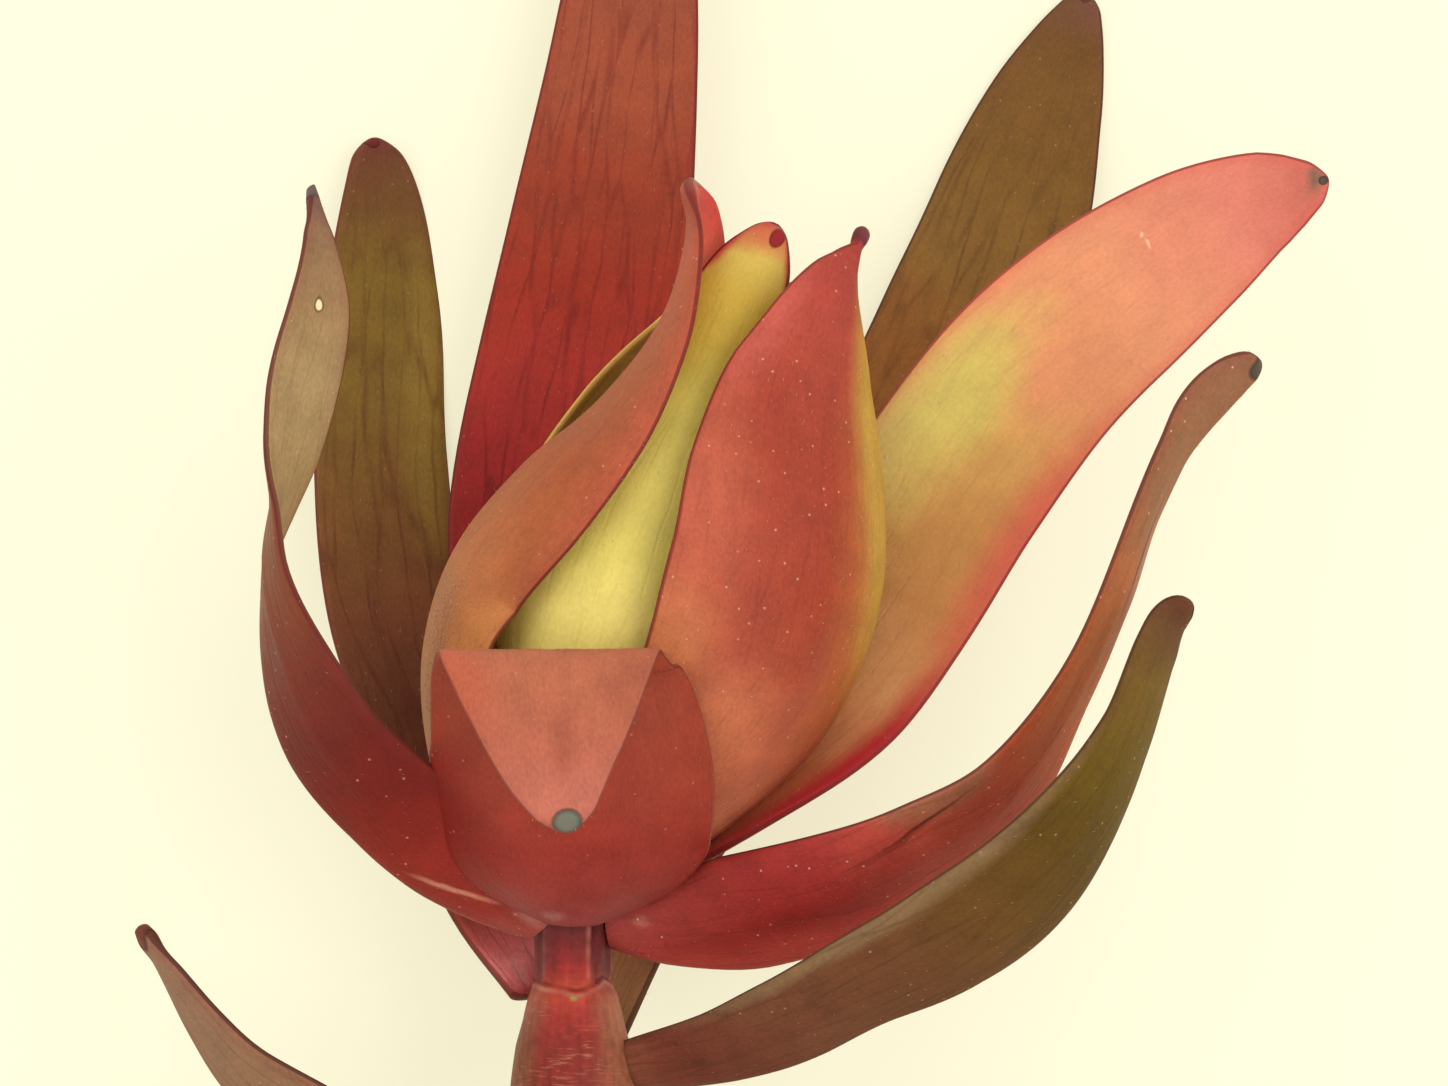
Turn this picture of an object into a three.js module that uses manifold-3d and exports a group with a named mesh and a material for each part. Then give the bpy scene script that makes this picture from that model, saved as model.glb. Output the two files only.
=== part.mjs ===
// One cut stem of a red conebush, lying on its side: a stripped lower stem with leaf scars,
// a leafy upper stem, and a flower head of broad bracts closed round a small cone of florets.
//
// Everything is drawn in the flower's own frame, in millimetres: the base of the head is the
// origin, +Y runs up the flower, +Z comes out of its front and +X is its right. The whole
// flower is then tipped over and set down, so that its stem end and its back leaves rest on z = 0.
import * as THREE from "three";
import { mergeVertices } from "three/addons/utils/BufferGeometryUtils.js";
import Module from "manifold-3d";

// Driving sizes, in millimetres and degrees
const HEAD_TILT = 6.5; // the head end of the stem rises at this angle from the surface
const STEM_RADIUS = 4.1;
const NECK_RADIUS = 2.6; // just under the head, where the stem is slimmest
const STEM_SIDES = 14;
const JOINT_Y = -4.2; // the ring where the neck meets the swollen top of the stem
const CUT_Y = -188; // the middle of the slanting cut
const CUT_SLANT = 38; // between the cut and a square one
const BEND_Y = -138; // below here the stem eases over to lie level on the surface
const BEND_LENGTH = 25.8;
const SURFACE_DROP = 21.2; // the surface lies this far behind the base of the head
const SURFACE_CLEARANCE = 0.9; // under the middle of a leaf that is pressed flat
const REST_Y = -184; // the middle of the flat spot under the cut end
const CONE_LENGTH = 16;
const CONE_RINGS = 9;
const CONE_SIDES = 12;
const SEAT_GAP = 0.3; // between the foot of a leaf and the stem that carries it
const LEAF_THICKNESS = 0.85;
const LEAF_FOOT_THICKNESS = 1.7;
const CALLUS_THICKNESS = 1.4; // the hard bead at the tip of every leaf
const CALLUS_LENGTH = 2.2;
const LEAF_COLUMNS = 6;
const LEAF_ROWS = 15;

const COLOURS = {
  stem: 0xa03a30,
  cone: 0xc9b455,
  bract: 0xb8503f,
  inner_bract: 0xc9c25e,
  open_bract: 0xdf7f68,
  red_leaf: 0x9c3a31,
  green_leaf: 0x76602f,
};

const wasm = await Module();
wasm.setup();

const radians = THREE.MathUtils.degToRad;
const mix = THREE.MathUtils.lerp;
const mid = (low, value, high) => Math.min(Math.max(value, low), high);

// A smooth line through [place, value] stops, with no overshoot between them
function profile(stops) {
  const n = stops.length;
  const slope = [];
  for (let i = 0; i < n - 1; i++)
    slope.push((stops[i + 1][1] - stops[i][1]) / (stops[i + 1][0] - stops[i][0]));
  const tangent = stops.map((_, i) => {
    if (i === 0) return slope[0];
    if (i === n - 1) return slope[n - 2];
    if (slope[i - 1] * slope[i] <= 0) return 0;
    return (2 * slope[i - 1] * slope[i]) / (slope[i - 1] + slope[i]);
  });
  return (t) => {
    if (t <= stops[0][0]) return stops[0][1];
    if (t >= stops[n - 1][0]) return stops[n - 1][1];
    const i = stops.findIndex((s) => s[0] > t) - 1;
    const h = stops[i + 1][0] - stops[i][0];
    const u = (t - stops[i][0]) / h;
    const a = (1 + 2 * u) * (1 - u) * (1 - u) * stops[i][1];
    const b = u * (1 - u) * (1 - u) * h * tangent[i];
    const c = u * u * (3 - 2 * u) * stops[i + 1][1];
    const d = u * u * (u - 1) * h * tangent[i + 1];
    return a + b + c + d;
  };
}

// A closed mesh from a grid of points on each face; both faces split their cells alike
function slab(upper, lower, rows, columns) {
  const points = [...upper, ...lower].flatMap((p) => p.toArray());
  const half = upper.length;
  const at = (row, column) => row * columns + column;
  const index = [];
  for (let r = 0; r < rows - 1; r++)
    for (let c = 0; c < columns - 1; c++) {
      const [p, q, s, w] = [at(r, c), at(r, c + 1), at(r + 1, c + 1), at(r + 1, c)];
      index.push(p, s, q, p, w, s);
      index.push(half + p, half + q, half + s, half + p, half + s, half + w);
    }
  const rim = [];
  for (let c = 0; c < columns; c++) rim.push(at(0, c));
  for (let r = 1; r < rows; r++) rim.push(at(r, columns - 1));
  for (let c = columns - 2; c >= 0; c--) rim.push(at(rows - 1, c));
  for (let r = rows - 2; r > 0; r--) rim.push(at(r, 0));
  rim.forEach((a, i) => {
    const b = rim[(i + 1) % rim.length];
    index.push(a, b, half + b, a, half + b, half + a);
  });
  const made = new THREE.BufferGeometry();
  made.setAttribute("position", new THREE.Float32BufferAttribute(points, 3));
  made.setIndex(index);
  return made;
}

// One leaf or bract. midrib is its line from foot to tip. side points from the midrib to one
// margin, so that (along x side) is the way the upper face looks. Most leaves give it as turn:
// 0 shows the underside to the front of the flower, 180 the upper face, 90 an edge.
// arc is how far the blade rolls round its upper face, or towards inside where that is given.
// shift moves the blade off its midrib, in half widths.
function bladeGeometry(leaf, grow = 0) {
  const line = new THREE.CatmullRomCurve3(
    leaf.midrib.map((p) => new THREE.Vector3(...p)),
    false,
    "centripetal",
  );
  const length = line.getLength();
  const width = profile(leaf.width);
  const arc = profile(leaf.arc);
  const turn = leaf.turn && profile(leaf.turn);
  const shift = profile(leaf.shift ?? [[0, 0], [1, 0]]);
  const thin = leaf.thickness ?? LEAF_THICKNESS;
  const foot = leaf.foot ?? LEAF_FOOT_THICKNESS;
  const callusStart = 1 - CALLUS_LENGTH / length;
  const thickness = profile([
    [0, foot],
    [0.14, mix(thin, foot, 0.35)],
    [0.32, thin],
    [callusStart - 0.02, thin],
    [(callusStart + 1) / 2, CALLUS_THICKNESS],
    [1, CALLUS_THICKNESS * 0.75],
  ]);
  const rows = leaf.rows ?? LEAF_ROWS;
  const columns = leaf.columns ?? LEAF_COLUMNS;
  const stations = Array.from({ length: rows - 2 }, (_, r) => (r / (rows - 3)) * callusStart);
  stations.push((callusStart + 1) / 2, 1);
  const middle = [];
  for (const t of stations) {
    const centre = line.getPointAt(t);
    const along = line.getTangentAt(t);
    const across = new THREE.Vector3(1, 0, 0);
    if (turn) {
      across.set(along.y, -along.x, 0).normalize().multiplyScalar(Math.cos(radians(turn(t))));
      across.z = Math.sin(radians(turn(t)));
    }
    across.addScaledVector(along, -across.dot(along)).normalize();
    const inside = leaf.inside ? new THREE.Vector3(...leaf.inside) : along.clone().cross(across);
    const roll = Math.max(radians(arc(t)), 1e-3);
    const radius = width(t) / roll;
    const spread = 1 + (2 * grow) / width(t);
    for (let c = 0; c < columns; c++) {
      const a = (((2 * c) / (columns - 1) - 1) * spread + shift(t)) * (roll / 2);
      const p = centre.clone().addScaledVector(across, radius * Math.sin(a));
      middle.push(p.addScaledVector(inside, radius * (1 - Math.cos(a))));
    }
  }
  const faces = [[], []];
  const rowCount = stations.length;
  for (let r = 0; r < rowCount; r++)
    for (let c = 0; c < columns; c++) {
      const at = (row, column) =>
        middle[mid(0, row, rowCount - 1) * columns + mid(0, column, columns - 1)];
      const along = at(r + 1, c).clone().sub(at(r - 1, c));
      const across = at(r, c + 1).clone().sub(at(r, c - 1));
      const normal = along.cross(across).normalize();
      const s = (2 * c) / (columns - 1) - 1;
      const half = (thickness(stations[r]) * (1 - 0.22 * s * s)) / 2 + grow;
      faces[0].push(at(r, c).clone().addScaledVector(normal, half));
      faces[1].push(at(r, c).clone().addScaledVector(normal, -half));
    }
  return slab(faces[0], faces[1], rowCount, columns);
}

// The stem: round, with its line and its radius given by place along Y
function stemGeometry(grow = 0) {
  const rings = STEM_RINGS.map(([y, radius], i) => ({
    centre: stemCentre(y + (i === STEM_RINGS.length - 1 ? grow : 0)),
    radius: radius + grow,
  }));
  const points = [];
  const index = [];
  for (const { centre, radius } of rings)
    for (let k = 0; k < STEM_SIDES; k++) {
      const a = (2 * Math.PI * k) / STEM_SIDES;
      points.push(centre.x + radius * Math.sin(a), centre.y, centre.z + radius * Math.cos(a));
    }
  const at = (ring, k) => ring * STEM_SIDES + (k % STEM_SIDES);
  for (let r = 0; r < rings.length - 1; r++)
    for (let k = 0; k < STEM_SIDES; k++) {
      const [p, q, s, w] = [at(r, k), at(r, k + 1), at(r + 1, k + 1), at(r + 1, k)];
      index.push(p, q, s, p, s, w);
    }
  const last = rings.length - 1;
  const ends = [0, last].map((r) => {
    points.push(rings[r].centre.x, rings[r].centre.y, rings[r].centre.z);
    return points.length / 3 - 1;
  });
  for (let k = 0; k < STEM_SIDES; k++) {
    index.push(ends[0], at(0, k + 1), at(0, k));
    index.push(ends[1], at(last, k), at(last, k + 1));
  }
  const made = new THREE.BufferGeometry();
  made.setAttribute("position", new THREE.Float32BufferAttribute(points, 3));
  made.setIndex(index);
  return made;
}

// Solids for joining and cutting
function solidOf(geometry) {
  const bare = geometry.index ? geometry.toNonIndexed() : geometry.clone();
  bare.deleteAttribute("normal");
  bare.deleteAttribute("uv");
  const merged = mergeVertices(bare, 1e-4);
  const mesh = new wasm.Mesh({
    numProp: 3,
    vertProperties: merged.attributes.position.array,
    triVerts: new Uint32Array(merged.index.array),
  });
  return new wasm.Manifold(mesh);
}

function geometryOf(solid) {
  const mesh = solid.getMesh();
  const made = new THREE.BufferGeometry();
  made.setAttribute("position", new THREE.Float32BufferAttribute(mesh.vertProperties, 3));
  made.setIndex(new THREE.BufferAttribute(mesh.triVerts, 1));
  return made;
}

// The surface that the flower lies on, in the flower's frame: its height rises towards the head
const tilt = radians(HEAD_TILT);
const LYING_UP = new THREE.Vector3(0, Math.sin(tilt), Math.cos(tilt));

// The stem's line: level with the surface at the cut end, then rising towards the head
function stemCentre(y) {
  const below = Math.max(0, BEND_Y - y);
  const easing = Math.min(below, BEND_LENGTH);
  const rise = Math.tan(tilt) * ((easing * easing) / (2 * BEND_LENGTH) + below - easing);
  const free = Math.max(0, -12 - y);
  const sway = -1.6 * Math.sin((Math.PI * free) / 150) * Math.min(1, free / 40);
  return new THREE.Vector3(sway, y, rise);
}

const STEM_RINGS = [
  [CUT_Y - 8, STEM_RADIUS + 0.3],
  [CUT_Y + 4, STEM_RADIUS + 0.25],
  [-165, STEM_RADIUS + 0.2],
  [-145, STEM_RADIUS + 0.15],
  [-125, STEM_RADIUS + 0.05],
  [-105, STEM_RADIUS],
  [-85, STEM_RADIUS],
  [-65, STEM_RADIUS - 0.1],
  [-48, STEM_RADIUS - 0.1],
  [-34, STEM_RADIUS],
  [-22, STEM_RADIUS + 0.4],
  [-13, STEM_RADIUS + 0.65],
  [-9, STEM_RADIUS + 0.25],
  [-6.8, STEM_RADIUS - 0.35],
  [-5.6, STEM_RADIUS - 0.65],
  [JOINT_Y - 0.4, NECK_RADIUS + 0.55],
  [JOINT_Y, NECK_RADIUS + 0.35],
  [JOINT_Y + 0.6, NECK_RADIUS + 0.2],
  [-1.6, NECK_RADIUS + 0.15],
  [0.4, NECK_RADIUS + 0.25],
  [3, NECK_RADIUS + 0.5],
  [6, NECK_RADIUS + 0.2],
  [8, NECK_RADIUS - 0.6],
];
const stemRadius = profile(STEM_RINGS);

// The bracts of the head and the leaves round it, from the foot to the tip of each
const LEAVES = {
  bract_front: {
    colour: "bract",
    midrib: [[0.1, 1.3, 3.2], [0.4, 4.7, 8.9], [0.5, 10, 13.2], [0.05, 15.3, 15.9],
      [-0.75, 19.7, 17.4], [-0.75, 21.3, 19.3], [-0.45, 18.4, 21.8], [0, 13.7, 23.4],
      [0.8, 9.3, 24]],
    width: [[0, 5], [0.08, 12], [0.16, 17.8], [0.25, 21.6], [0.4, 22.6], [0.47, 21.8], [0.53, 20.4],
      [0.58, 19], [0.63, 17.4], [0.7, 15], [0.78, 12.3], [0.9, 7.6], [0.97, 4.1], [1, 2.3]],
    arc: [[0, 60], [0.16, 88], [0.4, 90], [0.5, 80], [0.6, 62], [0.7, 42], [0.85, 16], [1, 4]],
    inside: [0, 0, -1],
    rows: 20,
    columns: 8,
  },
  bract_left: {
    colour: "bract",
    midrib: [[-2.2, 1.4, 0.6], [-7.3, 6, 0.6], [-10.1, 13, 1], [-10.7, 20.5, 1.6], [-8.5, 28, 2.5],
      [-3.4, 34.1, 4.5], [2.9, 39.8, 4.5], [7.5, 46.2, 3.5], [9.1, 52, 2.5], [8.9, 56.2, 2]],
    width: [[0, 4.5], [0.15, 14], [0.35, 20.5], [0.5, 20.2], [0.65, 18], [0.8, 13.4], [0.92, 8.6],
      [0.97, 6], [1, 2.6]],
    turn: [[0, 80], [0.2, 86], [0.36, 87], [0.48, 77], [0.6, 73], [0.7, 82], [0.8, 94], [0.88, 104],
      [1, 110]],
    arc: [[0, 70], [0.2, 110], [0.7, 110], [0.9, 100], [1, 50]],
    rows: 18,
    columns: 8,
  },
  bract_right: {
    colour: "bract",
    midrib: [[1.8, 4.5, 2.6], [8.7, 9.8, 6.6], [14.8, 17.3, 9.4], [18.2, 26, 10.6],
      [19, 34, 9.9], [19.3, 42, 7.6], [19.9, 48, 5.5], [21.7, 52.4, 3]],
    width: [[0, 4], [0.15, 13], [0.3, 22], [0.45, 24.5], [0.6, 22.1], [0.75, 15.8], [0.86, 9],
      [0.92, 4.6], [0.95, 2.3], [1, 1.5]],
    turn: [[0, -40], [1, -40]],
    arc: [[0, 60], [0.3, 105], [0.6, 105], [0.9, 80], [1, 30]],
    shift: [[0, 0], [0.38, 0.06], [0.6, -0.03], [0.8, -0.15], [1, 0]],
    rows: 18,
    columns: 8,
  },
  bract_inner: {
    colour: "inner_bract",
    midrib: [[0.2, 5.5, 3.2], [0.4, 12, 6.5], [1.5, 20, 9], [4.2, 28.5, 9.5], [8, 37.5, 8],
      [11.8, 46.2, 4.8], [15.2, 52.8, 2]],
    width: [[0, 4], [0.2, 14], [0.4, 20], [0.6, 18], [0.8, 11], [0.93, 6], [1, 1.6]],
    turn: [[0, 5], [1, 5]],
    arc: [[0, 60], [0.3, 110], [0.7, 100], [1, 30]],
    columns: 7,
  },
  bract_open: {
    colour: "open_bract",
    midrib: [[2.6, 2.2, -0.8], [9.3, 8, -1.4], [16.8, 15.9, -2], [23.1, 24.4, -3],
      [28.6, 33.6, -4.5], [35.5, 42.6, -6], [43.8, 49.7, -6], [51.4, 54.6, -4.5], [57.2, 56.7, -3]],
    width: [[0, 4], [0.15, 11.5], [0.3, 16.6], [0.4, 15.6], [0.6, 15], [0.75, 13.8], [0.86, 11.3],
      [0.94, 7.6], [0.98, 5], [1, 3]],
    turn: [[0, 235], [0.3, 205], [0.5, 188], [0.8, 180], [1, 175]],
    arc: [[0, 60], [0.3, 45], [0.6, 30], [1, 10]],
    rows: 17,
  },
  bract_back_left: {
    colour: "bract",
    midrib: [[-1.6, 3.5, -2.6], [-4, 10, -7.5], [-4.5, 18, -10.5], [-2.8, 26, -11.5],
      [1.1, 34.1, -10.5], [5.5, 41.3, -8], [9.4, 47.6, -4.5]],
    width: [[0, 4], [0.2, 12], [0.4, 17], [0.6, 17.5], [0.8, 12.5], [1, 2]],
    turn: [[0, 150], [1, 145]],
    arc: [[0, 60], [0.3, 90], [0.7, 90], [1, 30]],
    columns: 7,
  },
  bract_back: {
    colour: "bract",
    midrib: [[1.2, 4.5, -3], [3.8, 11, -8.5], [8.5, 19, -11.5], [12.5, 27, -12.5], [15, 35, -11.5],
      [16.5, 43, -8.5], [17, 49, -5]],
    width: [[0, 4], [0.2, 14], [0.4, 21], [0.6, 21], [0.8, 13], [1, 2]],
    turn: [[0, 200], [1, 200]],
    arc: [[0, 60], [0.3, 100], [0.7, 90], [1, 30]],
    columns: 7,
  },
  leaf_tall_red: {
    colour: "red_leaf",
    midrib: [[-0.6, -0.5, -3], [-1.8, 5, -8.5], [-2.6, 12, -13], [-2.3, 22, -16.5],
      [-1.2, 36.5, -19.5], [1.1, 52.7, -21.5], [3.2, 69.1, -23], [4.4, 82, -24.3], [5, 92, -25.2]],
    width: [[0, 5], [0.1, 8], [0.25, 15], [0.37, 18.3], [0.5, 16.8], [0.62, 14.9], [0.74, 12.6],
      [0.82, 11], [0.9, 8.4], [0.96, 5], [1, 2.2]],
    turn: [[0, 180], [1, 180]],
    arc: [[0, 60], [0.3, 40], [1, 25]],
  },
  leaf_left_green: {
    colour: "green_leaf",
    midrib: [[-2.8, -5.2, -2.8], [-6.8, 1.6, -8], [-11.5, 13, -14], [-15.2, 24, -18],
      [-16.9, 36.5, -22], [-16.9, 49, -25], [-17, 57.5, -26.4], [-17.6, 62.6, -26.9]],
    width: [[0, 4.8], [0.1, 8], [0.25, 10.6], [0.45, 12.4], [0.6, 12.3], [0.75, 11.4], [0.88, 8.7],
      [0.96, 5.7], [1, 2.8]],
    turn: [[0, 140], [0.2, 145], [1, 150]],
    arc: [[0, 60], [0.3, 35], [1, 20]],
  },
  leaf_left_long: {
    colour: "red_leaf",
    midrib: [[-1.8, 1, 1.6], [-6.6, 4.4, 5], [-12.1, 9.1, 9], [-17.1, 14.9, 12], [-19.9, 21.4, 13],
      [-21.1, 27.1, 13], [-20.6, 32.1, 12], [-19.3, 39.3, 11], [-17.9, 46.5, 10], [-18.1, 51.7, 9],
      [-18.7, 55, 8]],
    width: [[0, 5], [0.15, 9.2], [0.35, 10], [0.55, 9], [0.7, 7.2], [0.85, 5.4], [0.94, 2.6],
      [1, 1.2]],
    turn: [[0, 15], [0.2, 28], [0.4, 46], [0.52, 66], [0.62, 88], [0.7, 114], [0.82, 140],
      [1, 145]],
    arc: [[0, 60], [0.3, 35], [1, 20]],
    rows: 17,
  },
  leaf_back_right: {
    colour: "green_leaf",
    midrib: [[1.9, -8.4, -3.9], [4.4, -3, -8.5], [10, 8, -14.5], [18, 22, -19.3], [26.6, 37, -23.2],
      [33, 50.5, -26], [37.7, 64.5, -28.3], [41.6, 74.9, -29.3]],
    width: [[0, 4.5], [0.12, 5], [0.25, 8], [0.4, 12], [0.55, 14.5], [0.68, 14.8], [0.8, 13.2],
      [0.9, 9.6], [0.96, 5.8], [1, 2.2]],
    turn: [[0, 210], [0.5, 194], [0.7, 186], [1, 184]],
    arc: [[0, 60], [0.3, 35], [1, 20]],
  },
  leaf_right_red: {
    colour: "red_leaf",
    midrib: [[2.6, 0.6, 0.8], [7.2, 0.45, 2.7], [12.2, 1.2, 5], [19.3, 3.4, 8.3], [25.8, 6.8, 10.4],
      [31.6, 10.8, 11.3], [36.6, 18.6, 11], [39.6, 25.1, 10.2], [42.2, 31.9, 9.2],
      [45.6, 38.4, 8.3], [48.6, 41.3, 7.8], [50.5, 42.2, 7.3]],
    width: [[0, 4.4], [0.08, 7.6], [0.16, 10.4], [0.26, 10.8], [0.37, 9.8], [0.47, 8.6], [0.6, 6.1],
      [0.7, 5.1], [0.8, 4.7], [0.91, 4.6], [0.97, 3.6], [1, 2]],
    turn: [[0, -18], [0.08, -22], [0.15, -27], [0.26, -35], [0.37, -43], [0.47, -46], [0.6, -54],
      [0.7, -54], [0.8, -63], [0.86, -62], [0.91, -48], [0.95, -38], [1, -35]],
    arc: [[0, 60], [0.3, 40], [0.5, 22], [0.7, 12], [1, 14]],
    rows: 18,
  },
  leaf_right_green: {
    colour: "green_leaf",
    midrib: [[4.3, -10.4, 0.5], [11.3, -8.1, 6.9], [16.1, -5.75, 10.9], [21, -2.9, 13.8],
      [26.7, 0.3, 16], [32.5, 4.8, 17.6], [37.4, 11.1, 18], [39.8, 15.5, 16.8], [42.1, 21.4, 14.5],
      [43.4, 23.6, 12.7], [44.8, 24.4, 11]],
    width: [[0, 4.6], [0.15, 6.6], [0.35, 9.8], [0.55, 12], [0.7, 10.2], [0.82, 6.9], [0.93, 4.7],
      [1, 2]],
    turn: [[0, -28], [0.2, -33], [0.35, -41], [0.6, -42], [0.8, -52], [1, -50]],
    arc: [[0, 60], [0.3, 40], [1, 20]],
    rows: 17,
  },
  leaf_low_left: {
    colour: "green_leaf",
    midrib: [[-4, -22, 0.5], [-8, -19, 3.5], [-13, -16.6, 5.5], [-18.8, -13.4, 7], [-23.6, -10, 7],
      [-26.7, -6.3, 6.7], [-29.3, -2.3, 6.2], [-31.5, 1, 6]],
    width: [[0, 5], [0.2, 8], [0.5, 8.4], [0.74, 5.4], [0.88, 3.2], [0.94, 2.2], [1, 1.8]],
    turn: [[0, 40], [0.6, 44], [1, 52]],
    arc: [[0, 60], [0.3, 40], [1, 20]],
  },
};

// The lower leaves of the stem, which stand out all round it: place along Y, azimuth from the
// front towards +X, how far the tip reaches out and how far it rises above the foot
const STEM_LEAVES = [
  { y: -34, azimuth: 118, reach: 50, rise: 15 },
  { y: -46, azimuth: 8, reach: 25, rise: 34 },
  { y: -57, azimuth: -118, reach: 50, rise: 38 },
  { y: -68, azimuth: 82, reach: 42, rise: 50 },
  { y: -79, azimuth: -52, reach: 36, rise: 56 },
  { y: -91, azimuth: 150, reach: 36, rise: 60 },
  { y: -103, azimuth: 30, reach: 27, rise: 66 },
];

// Leaf scars with a small resting bud above each, on the stripped lower stem
const SCARS = [-115, -127, -138, -150, -161, -172].map((y, i) => ({
  y,
  azimuth: 168 + 137.5 * i,
}));

const outward = (azimuth) =>
  new THREE.Vector3(Math.sin(radians(azimuth)), 0, Math.cos(radians(azimuth)));

// How far a point stands above the surface that the flower lies on
const heightAbove = (p) => p.dot(LYING_UP) + SURFACE_DROP;

// A stem leaf leaves its node steeply and bends out; near the surface it is pressed flat on it
function stemLeaf({ y, azimuth, reach, rise }) {
  const out = outward(azimuth);
  const steps = 7;
  const midrib = [];
  let pressed = 0;
  for (let i = 0; i <= steps; i++) {
    const t = i / steps;
    const p = stemCentre(y + rise * Math.pow(t, 1.35));
    p.x *= 1 - t;
    p.addScaledVector(out, STEM_RADIUS - 0.6 + reach * (1 - Math.pow(1 - t, 1.5)));
    const height = heightAbove(p);
    const held = SURFACE_CLEARANCE + Math.log1p(Math.exp((height - SURFACE_CLEARANCE) / 2)) * 2;
    p.addScaledVector(LYING_UP, held - height);
    pressed = Math.max(pressed, (held - height) / 8);
    midrib.push(p.toArray());
  }
  const flat = azimuth > 0 ? -180 : 180;
  const end = mix(-azimuth, flat, Math.min(1, pressed));
  return {
    colour: "green_leaf",
    midrib,
    width: [[0, 4.6], [0.1, 6], [0.35, 10.5], [0.6, 12.5], [0.8, 10.5], [0.92, 6.5], [1, 2.2]],
    turn: [[0, -azimuth], [0.35, end], [1, end]],
    arc: [[0, 60], [0.3, 35], [1, 20]],
    rows: 14,
    columns: 5,
  };
}

// A smooth bump sunk into the side of the stem
function bump(y, azimuth, width, tall, proud, detail = 1) {
  const made = new THREE.IcosahedronGeometry(1, detail);
  made.scale(width / 2, tall / 2, proud + 1);
  made.rotateY(radians(azimuth));
  const at = stemCentre(y).addScaledVector(outward(azimuth), stemRadius(y) - 1);
  made.translate(at.x, at.y, at.z);
  return solidOf(made);
}

function stemSolid(grow) {
  let solid = solidOf(stemGeometry(grow));
  for (const { y, azimuth } of SCARS) {
    solid = solid.add(bump(y, azimuth, 4.6 + grow, 2.6 + grow, 0.7 + grow));
    solid = solid.add(bump(y + 2.2, azimuth, 2.4 + grow, 3.4 + grow, 1.1 + grow, 0));
  }
  for (const { y, azimuth } of STEM_LEAVES)
    solid = solid.add(bump(y - 1.4, azimuth, 5.6 + grow, 4 + grow, 0.5 + grow));
  return solid;
}

// The slanting cut looks up and back down the stem
function slantCut(solid) {
  const slant = radians(CUT_SLANT);
  const inward = new THREE.Vector3(0.1, Math.cos(slant), -Math.sin(slant)).normalize();
  return solid.trimByPlane(inward.toArray(), inward.dot(stemCentre(CUT_Y)));
}

const restOnSurface = (solid) => solid.trimByPlane(LYING_UP.toArray(), -SURFACE_DROP);

// The small cone of florets that the bracts close round: rings of scales, set alternately
function coneGeometry() {
  const foot = new THREE.Vector3(0.3, 8.5, 0);
  const along = new THREE.Vector3(0.2, 1, 0).normalize();
  const frame = new THREE.Quaternion().setFromUnitVectors(new THREE.Vector3(0, 1, 0), along);
  const radius = profile([[0, 1.6], [0.12, 3], [0.35, 4.7], [0.6, 4.8], [0.85, 3.1], [1, 1.1]]);
  const points = [];
  const index = [];
  for (let r = 0; r < CONE_RINGS; r++)
    for (let k = 0; k < CONE_SIDES; k++) {
      const t = r / (CONE_RINGS - 1);
      const a = (2 * Math.PI * (k + 0.5 * (r % 2))) / CONE_SIDES;
      const proud = k % 2 === 0 ? 0.35 : -0.15;
      const p = new THREE.Vector3(Math.sin(a), 0, Math.cos(a)).multiplyScalar(radius(t) + proud);
      p.y = t * CONE_LENGTH;
      points.push(p.applyQuaternion(frame).add(foot));
    }
  const at = (r, k) => r * CONE_SIDES + ((k + CONE_SIDES) % CONE_SIDES);
  for (let r = 0; r < CONE_RINGS - 1; r++)
    for (let k = 0; k < CONE_SIDES; k++) {
      const lean = r % 2;
      if (lean) {
        index.push(at(r, k), at(r, k + 1), at(r + 1, k + 1));
        index.push(at(r, k), at(r + 1, k + 1), at(r + 1, k));
      } else {
        index.push(at(r, k), at(r, k + 1), at(r + 1, k));
        index.push(at(r, k + 1), at(r + 1, k + 1), at(r + 1, k));
      }
    }
  for (const [r, y] of [[0, -0.1], [CONE_RINGS - 1, CONE_LENGTH + 0.4]]) {
    const centre = points.push(new THREE.Vector3(0, y, 0).applyQuaternion(frame).add(foot)) - 1;
    for (let k = 0; k < CONE_SIDES; k++)
      if (r === 0) index.push(centre, at(r, k + 1), at(r, k));
      else index.push(centre, at(r, k), at(r, k + 1));
  }
  const made = new THREE.BufferGeometry();
  made.setAttribute(
    "position",
    new THREE.Float32BufferAttribute(points.flatMap((p) => p.toArray()), 3),
  );
  made.setIndex(index);
  return made;
}

const lying = new THREE.Group();

function add(name, solid, colour, roughness) {
  const material = new THREE.MeshStandardMaterial({
    color: COLOURS[colour],
    roughness: roughness,
    metalness: 0,
  });
  const mesh = new THREE.Mesh(geometryOf(solid), material);
  mesh.name = name;
  lying.add(mesh);
}

const largest = (solid) => solid.decompose().sort((a, b) => b.volume() - a.volume())[0];

add("stem", restOnSurface(slantCut(stemSolid(0))), "stem", 0.6);

const placed = [stemSolid(SEAT_GAP)];
const cone = largest(solidOf(coneGeometry()).subtract(placed[0]));
placed.push(solidOf(coneGeometry()));
add("flower_cone", cone, "cone", 0.7);

for (const [i, spec] of STEM_LEAVES.entries()) LEAVES[`stem_leaf_${i + 1}`] = stemLeaf(spec);
for (const [name, leaf] of Object.entries(LEAVES)) {
  let seated = solidOf(bladeGeometry(leaf));
  for (const other of placed) seated = seated.subtract(other);
  placed.push(solidOf(bladeGeometry(leaf, SEAT_GAP)));
  add(name, restOnSurface(largest(seated)), leaf.colour, 0.5);
}

// Set down: the flat spot under the cut end is the origin, +Y runs up the flower, +Z is up
const rest = stemCentre(REST_Y);
rest.addScaledVector(LYING_UP, -heightAbove(rest));
lying.position.copy(rest).multiplyScalar(-1);
const flower = new THREE.Group();
flower.add(lying);
flower.rotation.x = tilt;

export default flower;
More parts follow.
